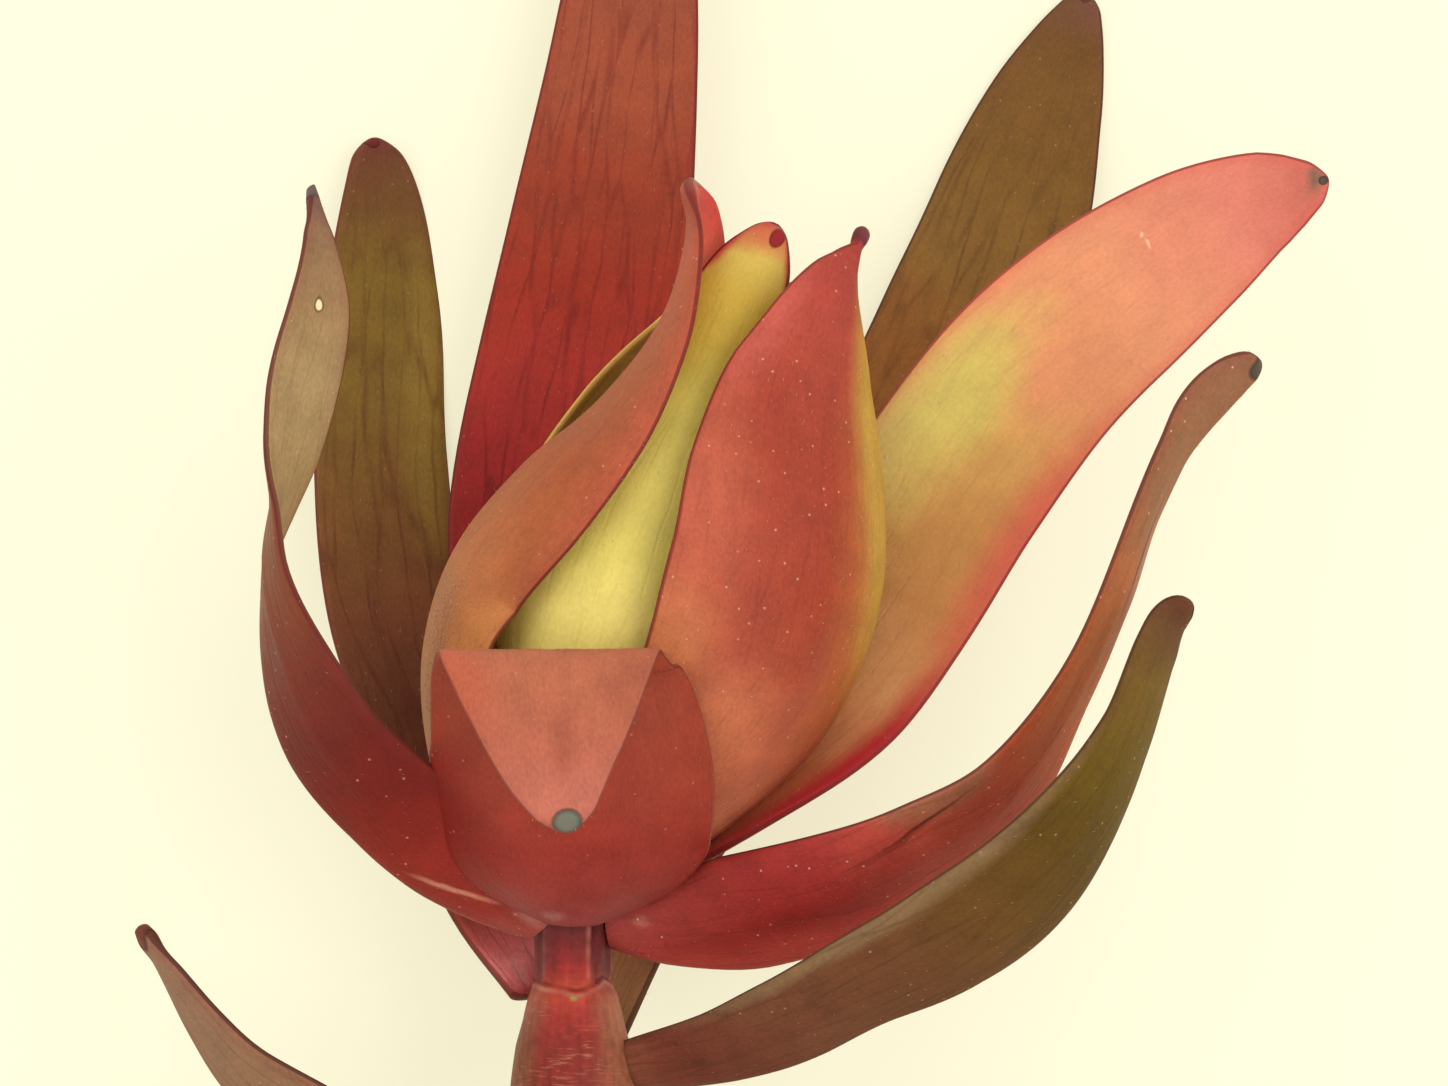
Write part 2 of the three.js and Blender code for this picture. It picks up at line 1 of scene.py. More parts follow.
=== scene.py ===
"""The looks of one cut stem of a red conebush, laid on its side on a pale surface.

Leaves, bracts, stem and florets are drawn in the flower's own frame, in millimetres: the base
of the flower head is the origin, +Y runs up the flower, +Z comes out of its front and +X is
its right. One function then tips the points over and sets them down, in metres.
"""

import logging
from dataclasses import dataclass, field
from enum import Enum

import bpy
import numpy as np
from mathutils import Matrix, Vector


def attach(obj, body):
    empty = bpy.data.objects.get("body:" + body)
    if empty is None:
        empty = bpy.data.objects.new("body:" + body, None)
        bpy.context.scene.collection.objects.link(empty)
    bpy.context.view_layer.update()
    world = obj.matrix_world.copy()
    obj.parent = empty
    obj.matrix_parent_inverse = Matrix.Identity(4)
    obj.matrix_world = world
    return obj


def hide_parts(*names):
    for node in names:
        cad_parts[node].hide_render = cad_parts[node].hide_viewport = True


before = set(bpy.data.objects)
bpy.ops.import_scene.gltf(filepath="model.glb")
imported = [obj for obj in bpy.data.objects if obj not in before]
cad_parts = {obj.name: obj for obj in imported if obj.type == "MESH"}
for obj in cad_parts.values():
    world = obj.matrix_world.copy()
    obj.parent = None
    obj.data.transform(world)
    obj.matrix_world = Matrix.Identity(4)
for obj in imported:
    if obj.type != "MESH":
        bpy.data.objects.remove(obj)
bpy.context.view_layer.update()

LOG = logging.getLogger("conebush")

Stops = tuple[tuple[float, float], ...]
Points = tuple[tuple[float, float, float], ...]
Socket = bpy.types.NodeSocket

MM = 0.001
BODY = "root"

# Where the flower lies: the same driving sizes as its solids, in millimetres and degrees
HEAD_TILT = 6.5
SURFACE_DROP = 21.2
BEND_Y = -138.0
BEND_LENGTH = 25.8
REST_Y = -184.0
CUT_Y = -188.0
CUT_SLANT = 38.0
JOINT_Y = -4.2
STEM_RADIUS = 4.1
NECK_RADIUS = 2.6
SURFACE_CLEARANCE = 0.9
LOWEST = 0.004  # the least height over the surface at which a point is laid down

# The camera stands in front of the head, in the flower's frame
CAMERA_AT = (11.325, 29.025, 260.0)
SENSOR_WIDTH = 36.0
VIEW_WIDTH = 108.6  # the width of the picture, in the plane of the head's base

# Shader and geometry nodes that are used again and again
MIX = "ShaderNodeMix"
MATH = "ShaderNodeMath"
RANGE = "ShaderNodeMapRange"
NOISE = "ShaderNodeTexNoise"
CELLS = "ShaderNodeTexVoronoi"
SPLIT = "ShaderNodeSeparateXYZ"
JOIN = "ShaderNodeCombineXYZ"
VECTOR_MATH = "ShaderNodeVectorMath"
RAMP = "ShaderNodeValToRGB"
ATTRIBUTE = "ShaderNodeAttribute"


class Face(Enum):
    """A side of a leaf: the upper one faces the stem's axis while the leaf is in bud."""

    LOWER = 0
    UPPER = 1
    BOTH = 2


class Grain(Enum):
    """The small things that are set on the plant, all by one rule."""

    HAIR = "hair"
    LENTICEL = "lenticel"
    FLORET = "floret"


def linear(colour: str) -> tuple[float, float, float, float]:
    """Turn an sRGB hex colour to linear light.

    Args:
        colour: Six hex digits, such as "a03a30".

    Returns:
        Red, green, blue and a full alpha.
    """
    parts = [int(colour[i : i + 2], 16) / 255 for i in (0, 2, 4)]
    light = [c / 12.92 if c <= 0.04045 else ((c + 0.055) / 1.055) ** 2.4 for c in parts]
    return light[0], light[1], light[2], 1.0


def add_node(
    tree: bpy.types.NodeTree,
    kind: str,
    inputs: dict | None = None,
    out: int | str = 0,
    stops: tuple[tuple[float, str], ...] = (),
    **settings: object,
) -> Socket | None:
    """Add one node with its settings, values and links.

    Args:
        tree: The node tree that takes the node.
        kind: The node's type name.
        inputs: Input socket, by number or name, to a value or to the socket that feeds it.
        out: The output to hand back, by number or name.
        stops: For a colour ramp, places and hex colours.
        settings: The node's own properties.

    Returns:
        The chosen output socket, or None where the node has no outputs.
    """
    node = tree.nodes.new(kind)
    for name, value in settings.items():
        setattr(node, name, value)
    for key, value in (inputs or {}).items():
        if isinstance(value, bpy.types.NodeSocket):
            tree.links.new(value, node.inputs[key])
        else:
            node.inputs[key].default_value = value
    for i, (place, colour) in enumerate(stops):
        ramp = node.color_ramp.elements
        stop = ramp[i] if i < 2 else ramp.new(place)  # a new ramp has two stops
        stop.position = place
        stop.color = linear(colour)
    return node.outputs[out] if node.outputs else None


def math_node(tree: bpy.types.NodeTree, operation: str, *values: Socket | float) -> Socket:
    """Add a math node that works on numbers or sockets, in the order given."""
    return add_node(tree, MATH, dict(enumerate(values)), operation=operation)


def vector_node(tree: bpy.types.NodeTree, operation: str, *values: object) -> Socket:
    """Add a vector math node that works on vectors or sockets, in the order given."""
    return add_node(tree, VECTOR_MATH, dict(enumerate(values)), operation=operation)


def ease(
    tree: bpy.types.NodeTree,
    value: Socket,
    low: float,
    high: float,
    ends: tuple[float, float] = (0.0, 1.0),
) -> Socket:
    """Turn a value into a soft mask.

    Args:
        tree: The node tree.
        value: The value.
        low: Where the mask starts to change.
        high: Where it stops.
        ends: The mask at low and at high.

    Returns:
        The mask.
    """
    inputs = {0: value, 1: low, 2: high, 3: ends[0], 4: ends[1]}
    return add_node(tree, RANGE, inputs, interpolation_type="SMOOTHSTEP")


def lay_over(
    tree: bpy.types.NodeTree,
    mask: Socket,
    ground: Socket | tuple[float, ...],
    colour: str | Socket,
) -> Socket:
    """Lay a colour over another.

    Args:
        tree: The material's nodes.
        mask: How much of the new colour shows.
        ground: The colour under it.
        colour: The new colour, in hex or as a socket.

    Returns:
        The mixed colour.
    """
    top = linear(colour) if isinstance(colour, str) else colour
    return add_node(tree, MIX, {0: mask, 6: ground, 7: top}, out=2, data_type="RGBA")


def shade_by(tree: bpy.types.NodeTree, colour: Socket | tuple[float, ...], grey: Socket) -> Socket:
    """Multiply a colour by a grey, where 1 leaves it as it is."""
    inputs = {0: 1.0, 6: colour, 7: grey}
    return add_node(tree, MIX, inputs, out=2, data_type="RGBA", blend_type="MULTIPLY")


def start_material(name: str) -> tuple[bpy.types.Material, bpy.types.NodeTree, Socket]:
    """Make an empty material.

    Args:
        name: Its name, after the real thing.

    Returns:
        The material, its node tree, and the place on the object that its patterns read.
    """
    made = bpy.data.materials.new(name)
    made.use_nodes = True
    tree = made.node_tree
    tree.nodes.clear()
    return made, tree, add_node(tree, "ShaderNodeTexCoord", out="Object")


def bump_by(tree: bpy.types.NodeTree, height: Socket, strength: float = 0.8) -> Socket:
    """Turn a height in millimetres into relief of the shading."""
    inputs = {"Strength": strength, "Distance": MM, "Height": height}
    return add_node(tree, "ShaderNodeBump", inputs)


def end_material(tree: bpy.types.NodeTree, inputs: dict) -> None:
    """End a material in the one shader that takes its colour, roughness and relief."""
    skin = add_node(tree, "ShaderNodeBsdfPrincipled", inputs)
    add_node(tree, "ShaderNodeOutputMaterial", {"Surface": skin})


@dataclass(frozen=True)
class Profile:
    """A smooth line through (place, value) stops, with no overshoot between them."""

    stops: Stops

    def at(self, places: np.ndarray) -> np.ndarray:
        """Read the line.

        Args:
            places: Where to read it.

        Returns:
            Its values there.
        """
        x, y = np.array(self.stops, float).T
        slope = np.diff(y) / np.diff(x)
        product = slope[:-1] * slope[1:]
        total = np.where(product > 0, slope[:-1] + slope[1:], 1.0)
        inner = np.where(product > 0, 2 * product / total, 0.0)
        tangent = np.concatenate([slope[:1], inner, slope[-1:]])
        t = np.clip(np.asarray(places, float), x[0], x[-1])
        i = np.clip(np.searchsorted(x, t, side="right") - 1, 0, len(x) - 2)
        h = x[i + 1] - x[i]
        u = (t - x[i]) / h
        return (
            (1 + 2 * u) * (1 - u) ** 2 * y[i]
            + u * (1 - u) ** 2 * h * tangent[i]
            + u * u * (3 - 2 * u) * y[i + 1]
            + u * u * (u - 1) * h * tangent[i + 1]
        )


class Midrib:
    """A centripetal spline through a leaf's middle points, read by share of its length."""

    STEPS = 120  # samples on each stretch between two points

    def __init__(self, points: Points) -> None:
        """Sample the line.

        Args:
            points: The points that it passes through, from the leaf's foot to its tip.
        """
        given = np.array(points, float)
        held = np.vstack([2 * given[0] - given[1], given, 2 * given[-1] - given[-2]])
        u = np.linspace(0, 1, self.STEPS, endpoint=False)[:, None]
        parts = []
        for i in range(len(given) - 1):
            p0, p1, p2, p3 = held[i : i + 4]
            d0, d1, d2 = (
                float(np.sum((b - a) ** 2)) ** 0.25 for a, b in ((p0, p1), (p1, p2), (p2, p3))
            )
            t1 = ((p1 - p0) / d0 - (p2 - p0) / (d0 + d1) + (p2 - p1) / d1) * d1
            t2 = ((p2 - p1) / d1 - (p3 - p1) / (d1 + d2) + (p3 - p2) / d2) * d1
            c2 = -3 * p1 + 3 * p2 - 2 * t1 - t2
            c3 = 2 * p1 - 2 * p2 + t1 + t2
            parts.append(p1 + t1 * u + c2 * u**2 + c3 * u**3)
        self.line = np.vstack([*parts, given[-1:]])
        step = np.linalg.norm(np.diff(self.line, axis=0), axis=1)
        self.place = np.concatenate([[0.0], np.cumsum(step)])
        self.length = float(self.place[-1])

    def at(self, t: np.ndarray) -> tuple[np.ndarray, np.ndarray]:
        """Read points and directions.

        Args:
            t: Shares of the line's length.

        Returns:
            The points there, and the unit directions towards the tip.
        """
        nudge = 0.002
        here = [
            np.stack([np.interp(s * self.length, self.place, axis) for axis in self.line.T], 1)
            for s in (t, np.clip(t + nudge, 0, 1), np.clip(t - nudge, 0, 1))
        ]
        return here[0], unit(here[1] - here[2])


def unit(vectors: np.ndarray) -> np.ndarray:
    """Scale vectors to length 1, each along the last axis."""
    return vectors / np.maximum(np.linalg.norm(vectors, axis=-1, keepdims=True), 1e-9)


def bell(x: np.ndarray, spread: float) -> np.ndarray:
    """Fall off from 1 at 0 on both sides, to 0.37 at the spread."""
    return np.exp(-((x / spread) ** 2))


def turned_from(azimuth: np.ndarray, middle: float) -> np.ndarray:
    """Give how far directions lie from a middle one, from -180 to 180 degrees."""
    return (azimuth - middle + 180) % 360 - 180


def smooth_step(low: float, high: float, x: np.ndarray) -> np.ndarray:
    """Ease from 0 at low to 1 at high."""
    u = np.clip((x - low) / (high - low), 0, 1)
    return u * u * (3 - 2 * u)


LYING_UP = np.array([0.0, np.sin(np.radians(HEAD_TILT)), np.cos(np.radians(HEAD_TILT))])


def height_above(points: np.ndarray) -> np.ndarray:
    """Give the height over the surface, in mm, of points in the flower's frame."""
    return points @ LYING_UP + SURFACE_DROP


def stem_centre(y: np.ndarray) -> np.ndarray:
    """Give the middle of the stem.

    Args:
        y: Places along the flower's Y, in mm.

    Returns:
        A point for each, in the flower's frame.
    """
    y = np.atleast_1d(np.asarray(y, float))
    below = np.maximum(0, BEND_Y - y)
    easing = np.minimum(below, BEND_LENGTH)
    rise = np.tan(np.radians(HEAD_TILT)) * (easing**2 / (2 * BEND_LENGTH) + below - easing)
    free = np.maximum(0, -12 - y)
    sway = -1.6 * np.sin(np.pi * free / 150) * np.minimum(1, free / 40)
    return np.stack([sway, y, rise], axis=-1)


# The point of the surface straight under the place where the stem rests
REST = stem_centre(REST_Y)[0]
REST = REST - LYING_UP * height_above(REST)


def lay_down(points: np.ndarray) -> np.ndarray:
    """Tip points of the flower's frame over and set them down on the surface.

    Args:
        points: Points in mm in the flower's frame.

    Returns:
        The points in metres, none of them under the surface.
    """
    x, y, z = (points - REST).T
    c, s = np.cos(np.radians(HEAD_TILT)), np.sin(np.radians(HEAD_TILT))
    laid = np.stack([x, y * c - z * s, y * s + z * c], axis=-1)
    laid[:, 2] = np.maximum(laid[:, 2], LOWEST)
    return laid * MM


def turn_down(directions: np.ndarray) -> np.ndarray:
    """Turn directions of the flower's frame with the flower as it is laid down.

    Args:
        directions: Directions in the flower's frame.

    Returns:
        The same directions in the shared frame.
    """
    x, y, z = directions.T
    c, s = np.cos(np.radians(HEAD_TILT)), np.sin(np.radians(HEAD_TILT))
    return np.stack([x, y * c - z * s, y * s + z * c], axis=-1)


def outward(azimuth: np.ndarray) -> np.ndarray:
    """Give directions square to the flower's Y, from the front towards +X, from degrees."""
    a = np.radians(np.asarray(azimuth, float))
    return np.stack([np.sin(a), np.zeros_like(a), np.cos(a)], axis=-1)


def make_piece(
    name: str,
    points: np.ndarray,
    faces: list[tuple[int, ...]],
    materials: list[bpy.types.Material],
    attributes: dict[str, np.ndarray] | None = None,
    choice: np.ndarray | None = None,
) -> bpy.types.Object:
    """Make a smooth mesh object at the origin.

    Args:
        name: The piece's name.
        points: Its points, in metres in the shared frame.
        faces: Its faces, as point numbers.
        materials: Its materials.
        attributes: Vectors for each point, by name.
        choice: The number of each face's material.

    Returns:
        The new object, linked to the scene.
    """
    mesh = bpy.data.meshes.new(name)
    mesh.from_pydata(points.tolist(), [], faces)
    for label, values in (attributes or {}).items():
        layer = mesh.attributes.new(label, "FLOAT_VECTOR", "POINT")
        layer.data.foreach_set("vector", np.ascontiguousarray(values, np.float32).ravel())
    for material in materials:
        mesh.materials.append(material)
    mesh.polygons.foreach_set("use_smooth", [True] * len(faces))
    if choice is not None:
        mesh.polygons.foreach_set("material_index", choice.astype(np.int32))
    mesh.update()
    piece = bpy.data.objects.new(name, mesh)
    bpy.context.scene.collection.objects.link(piece)
    return piece


def tube_faces(rows: int, around: int) -> list[tuple[int, ...]]:
    """Skin rows of closed loops, which run clockwise seen from the last, and close both ends.

    Args:
        rows: The number of loops.
        around: The points in each. After them come a middle point for each end.

    Returns:
        Quads, then the ends' triangles by turns, that all face outwards.
    """
    faces = []
    foot, last = rows * around, (rows - 1) * around
    for low in range(0, last, around):
        for j in range(around):
            k = (j + 1) % around
            faces.append((low + j, low + around + j, low + around + k, low + k))
    for j in range(around):
        k = (j + 1) % around
        faces.append((foot, j, k))
        faces.append((last + j, foot + 1, last + k))
    return faces


def live(sockets: bpy.types.NodeOutputs | bpy.types.NodeInputs, name: str) -> Socket:
    """Find the socket of a name that is in use with the node's present settings."""
    return next(socket for socket in sockets if socket.name == name and socket.enabled)


@dataclass(frozen=True)
class GrainFinish:
    """The dry skin of hairs, corky dots, florets and buds: paler or darker along its length."""

    name: str
    foot: str
    middle: str
    end: str
    roughness: float = 0.6

    def build(self) -> bpy.types.Material:
        """Make the material, coloured by each grain's own length with a mottle 0.5 mm across.

        Returns:
            The material.
        """
        made, tree, solid = start_material(self.name)
        along = add_node(tree, ATTRIBUTE, out=2, attribute_name="grain_along")
        mottle = add_node(tree, NOISE, {0: solid, 2: 1 / (0.5 * MM), 3: 3.0})
        uneven = math_node(tree, "MULTIPLY_ADD", mottle, 0.4, along)
        reach = 1.2  # the last place that the ramp reads, as the mottle adds to the length
        at = add_node(tree, RANGE, {0: uneven, 1: 0.0, 2: reach})
        stops = ((0.15, self.foot), (0.6, self.middle), (1.05, self.end))
        stops = tuple((place / reach, colour) for place, colour in stops)
        colour = add_node(tree, RAMP, {0: at}, stops=stops)
        low, high = self.roughness - 0.1, self.roughness + 0.1
        rough = add_node(tree, RANGE, {0: mottle, 1: 0.3, 2: 0.7, 3: low, 4: high})
        bump = bump_by(tree, mottle, 0.4)
        end_material(
            tree,
            {"Base Color": colour, "Roughness": rough, "Normal": bump, "Specular IOR Level": 0.25},
        )
        return made


@dataclass(frozen=True)
class Strewing:
    """Small things of one kind, set on a piece by a Geometry Nodes tree.

    They follow the piece's growth directions. On a piece with faces they are strewn at random,
    as thickly as those directions are long; on bare points there is one on each.
    """

    name: str
    grain: Grain
    finish: GrainFinish
    length: float
    width: float
    thick: float
    per_mm2: float = 0.0
    lift: float = 0.0
    smallest: float = 0.6
    seed: int = 3

    def template(self, tree: bpy.types.NodeTree) -> Socket:
        """Draw one grain 1 m long, standing on the origin, with its own length written on it.

        Args:
            tree: The Geometry Nodes tree that takes the grain.

        Returns:
            The grain's geometry.
        """
        if self.grain is Grain.HAIR:
            inputs = {"Vertices": 4, "Radius Top": 0.1, "Radius Bottom": 0.5, "Depth": 1.0}
            grain = add_node(tree, "GeometryNodeMeshCone", inputs)
        else:
            flat = self.grain is Grain.LENTICEL
            segments, rings, up = (8, 5, 0.0) if flat else (10, 8, 0.5)
            inputs = {"Segments": segments, "Rings": rings, "Radius": 0.5}
            grain = add_node(tree, "GeometryNodeMeshUVSphere", inputs)
            inputs = {"Geometry": grain, "Translation": (0.0, 0.0, up)}
            grain = add_node(tree, "GeometryNodeTransform", inputs)
        spot = add_node(tree, "GeometryNodeInputPosition")
        height = add_node(tree, SPLIT, {0: spot}).node.outputs[2]
        store = tree.nodes.new("GeometryNodeStoreNamedAttribute")
        store.data_type, store.domain = "FLOAT", "POINT"
        store.inputs["Name"].default_value = "grain_along"
        tree.links.new(grain, store.inputs["Geometry"])
        tree.links.new(height, live(store.inputs, "Value"))
        return store.outputs[0]

    def tree(self) -> bpy.types.NodeTree:
        """Make the node tree, with its sizes as named inputs.

        Returns:
            The tree, which ends in real meshes with their material.
        """
        tree = bpy.data.node_groups.new(self.name, "GeometryNodeTree")
        face = tree.interface
        face.new_socket("Geometry", in_out="INPUT", socket_type="NodeSocketGeometry")
        for label in ("Density", "Length", "Width", "Thickness", "Lift", "Smallest"):
            face.new_socket(label, in_out="INPUT", socket_type="NodeSocketFloat")
        face.new_socket("Seed", in_out="INPUT", socket_type="NodeSocketInt")
        face.new_socket("Material", in_out="INPUT", socket_type="NodeSocketMaterial")
        face.new_socket("Geometry", in_out="OUTPUT", socket_type="NodeSocketGeometry")
        given = add_node(tree, "NodeGroupInput", out="Geometry").node.outputs
        read = add_node(
            tree, "GeometryNodeInputNamedAttribute", {"Name": "growth"}, data_type="FLOAT_VECTOR"
        ).node
        growth = live(read.outputs, "Attribute")
        points, upright = given["Geometry"], growth
        if self.per_mm2:
            thickly = add_node(tree, VECTOR_MATH, {0: growth}, out=1, operation="LENGTH")
            density = math_node(tree, "MULTIPLY", thickly, given["Density"])
            spread = add_node(
                tree,
                "GeometryNodeDistributePointsOnFaces",
                {"Mesh": points, "Density": density, "Seed": given["Seed"]},
            ).node
            points, upright = spread.outputs["Points"], spread.outputs["Normal"]
        along = vector_node(tree, "NORMALIZE", growth)
        back = math_node(tree, "SUBTRACT", 1.0, given["Lift"])
        lying = add_node(tree, VECTOR_MATH, {0: along, 3: back}, operation="SCALE")
        rising = add_node(tree, VECTOR_MATH, {0: upright, 3: given["Lift"]}, operation="SCALE")
        way = vector_node(tree, "ADD", lying, rising)
        kind = "FunctionNodeAlignRotationToVector"
        turn = add_node(tree, kind, {"Vector": way}, axis="Z")
        if self.per_mm2:
            inputs = {"Rotation": turn, "Vector": upright}
            turn = add_node(tree, kind, inputs, axis="X", pivot_axis="Z")
        sizes = add_node(tree, JOIN, {0: given["Thickness"], 1: given["Width"], 2: given["Length"]})
        chance = {2: given["Smallest"], 3: 1.0, "Seed": given["Seed"]}
        share = add_node(tree, "FunctionNodeRandomValue", chance, out=1, data_type="FLOAT")
        scale = add_node(tree, VECTOR_MATH, {0: sizes, 3: share}, operation="SCALE")
        grain = self.template(tree)
        inputs = {"Points": points, "Instance": grain, "Rotation": turn, "Scale": scale}
        grains = add_node(tree, "GeometryNodeInstanceOnPoints", inputs)
        real = add_node(tree, "GeometryNodeRealizeInstances", {0: grains})
        inputs = {"Geometry": real, "Material": given["Material"]}
        dressed = add_node(tree, "GeometryNodeSetMaterial", inputs)
        add_node(tree, "NodeGroupOutput", {0: dressed})
        return tree

    def strew(self, on: bpy.types.Object) -> bpy.types.Object:
        """Set the grains on a piece and bake them as a piece of their own.

        Args:
            on: The piece, or an object of bare points.

        Returns:
            The grains.
        """
        piece = bpy.data.objects.new(self.name, on.data.copy())
        bpy.context.scene.collection.objects.link(piece)
        modifier = piece.modifiers.new(self.name, "NODES")
        tree = self.tree()
        modifier.node_group = tree
        values = {
            "Density": self.per_mm2 / MM**2,
            "Length": self.length * MM,
            "Width": self.width * MM,
            "Thickness": self.thick * MM,
            "Lift": self.lift,
            "Smallest": self.smallest,
            "Seed": self.seed,
            "Material": self.finish.build(),
        }
        for item in tree.interface.items_tree:
            if item.item_type == "SOCKET" and item.in_out == "INPUT" and item.name in values:
                modifier[item.identifier] = values[item.name]
        bpy.context.view_layer.update()
        now = bpy.context.evaluated_depsgraph_get()
        mesh = bpy.data.meshes.new_from_object(piece.evaluated_get(now), depsgraph=now)
        piece.modifiers.clear()
        piece.data = mesh
        mesh.polygons.foreach_set("use_smooth", [True] * len(mesh.polygons))
        mesh.update()
        return piece


@dataclass(frozen=True)
class Wash:
    """A soft patch of colour on a leaf, placed by share of half width and share of length."""

    colour: str
    s: float
    t: float
    reach_s: float
    reach_t: float
    strength: float = 0.8
    face: Face = Face.BOTH
    core: float = 0.15  # the share of the reach that has the full colour
    lean: float = 0.0  # how far the patch shifts in s for each unit of t

    def lay(
        self, tree: bpy.types.NodeTree, ground: Socket, s: Socket, t: Socket, face: Socket
    ) -> Socket:
        """Lay the patch over the ground colour.

        Args:
            tree: The material's nodes.
            ground: The colour under it.
            s: The place across the blade.
            t: The place along it.
            face: 1 on the upper face, 0 on the lower.

        Returns:
            The colour with the patch.
        """
        along = math_node(tree, "SUBTRACT", t, self.t)
        slip = math_node(tree, "MULTIPLY_ADD", along, -self.lean, s)
        across = math_node(tree, "SUBTRACT", slip, self.s)
        place = add_node(tree, JOIN, {0: across, 1: along})
        scaled = vector_node(tree, "DIVIDE", place, (self.reach_s, self.reach_t, 1))
        far = add_node(tree, VECTOR_MATH, {0: scaled}, out=1, operation="LENGTH")
        mask = ease(tree, far, self.core, 1.0, (self.strength, 0.0))
        if self.face is Face.UPPER:
            mask = math_node(tree, "MULTIPLY", mask, face)
        if self.face is Face.LOWER:
            mask = math_node(tree, "MULTIPLY", mask, math_node(tree, "SUBTRACT", 1.0, face))
        return lay_over(tree, mask, ground, self.colour)


@dataclass(frozen=True)
class Down:
    """A soft-edged patch of fine hair on a blade: where it is, how far it reaches, how thick."""

    s: float
    t: float
    reach_s: float
    reach_t: float
    thick: float = 1.0

    def at(self, s: np.ndarray, t: np.ndarray) -> np.ndarray:
        """Give how thickly the hair stands.

        Args:
            s: Places across the blade, as shares of its half width.
            t: Places along it, as shares of its length.

        Returns:
            The share of the full thickness at each place.
        """
        far = np.hypot((s - self.s) / self.reach_s, (t - self.t) / self.reach_t)
        return self.thick * (1 - smooth_step(0.4, 1.0, far))


@dataclass(frozen=True)
class Gland:
    """The hard, rounded bead at a leaf's tip, or just below it.

    Its rim is darker: partly its own dark outline and partly painted shade where it curves down.
    """

    colour: str = "5e3a2c"
    # Darkens the bead towards its rim: partly its own outline, partly painted shade
    rim: str = "3a201a"
    half_mm: float = 0.7
    long_mm: float = 1.0
    below_mm: float = 0.0  # how far its middle lies below the tip
    across_mm: float = 0.0  # and to the side of the midrib
    shine: float = 0.0

    def masks(
        self, tree: bpy.types.NodeTree, u: Socket, v: Socket, length: float
    ) -> tuple[Socket, Socket]:
        """Find the gland on the blade.

        Args:
            tree: The material's nodes.
            u: The place across the blade, in mm.
            v: The place along it, in mm.
            length: The blade's length, in mm.

        Returns:
            1 on the gland and 0 off it, and how dark it is, which grows towards its rim: partly
            its own outline and partly painted shade.
        """
        place = add_node(tree, JOIN, {0: u, 1: v})
        centre = (self.across_mm, length - self.below_mm, 0)
        off = vector_node(tree, "SUBTRACT", place, centre)
        scaled = vector_node(tree, "DIVIDE", off, (self.half_mm, self.long_mm, 1))
        far = add_node(tree, VECTOR_MATH, {0: scaled}, out=1, operation="LENGTH")
        bead = ease(tree, far, 0.8, 1.1, (1.0, 0.0))
        return bead, ease(tree, far, 0.5, 1.0, (0.0, 0.65))


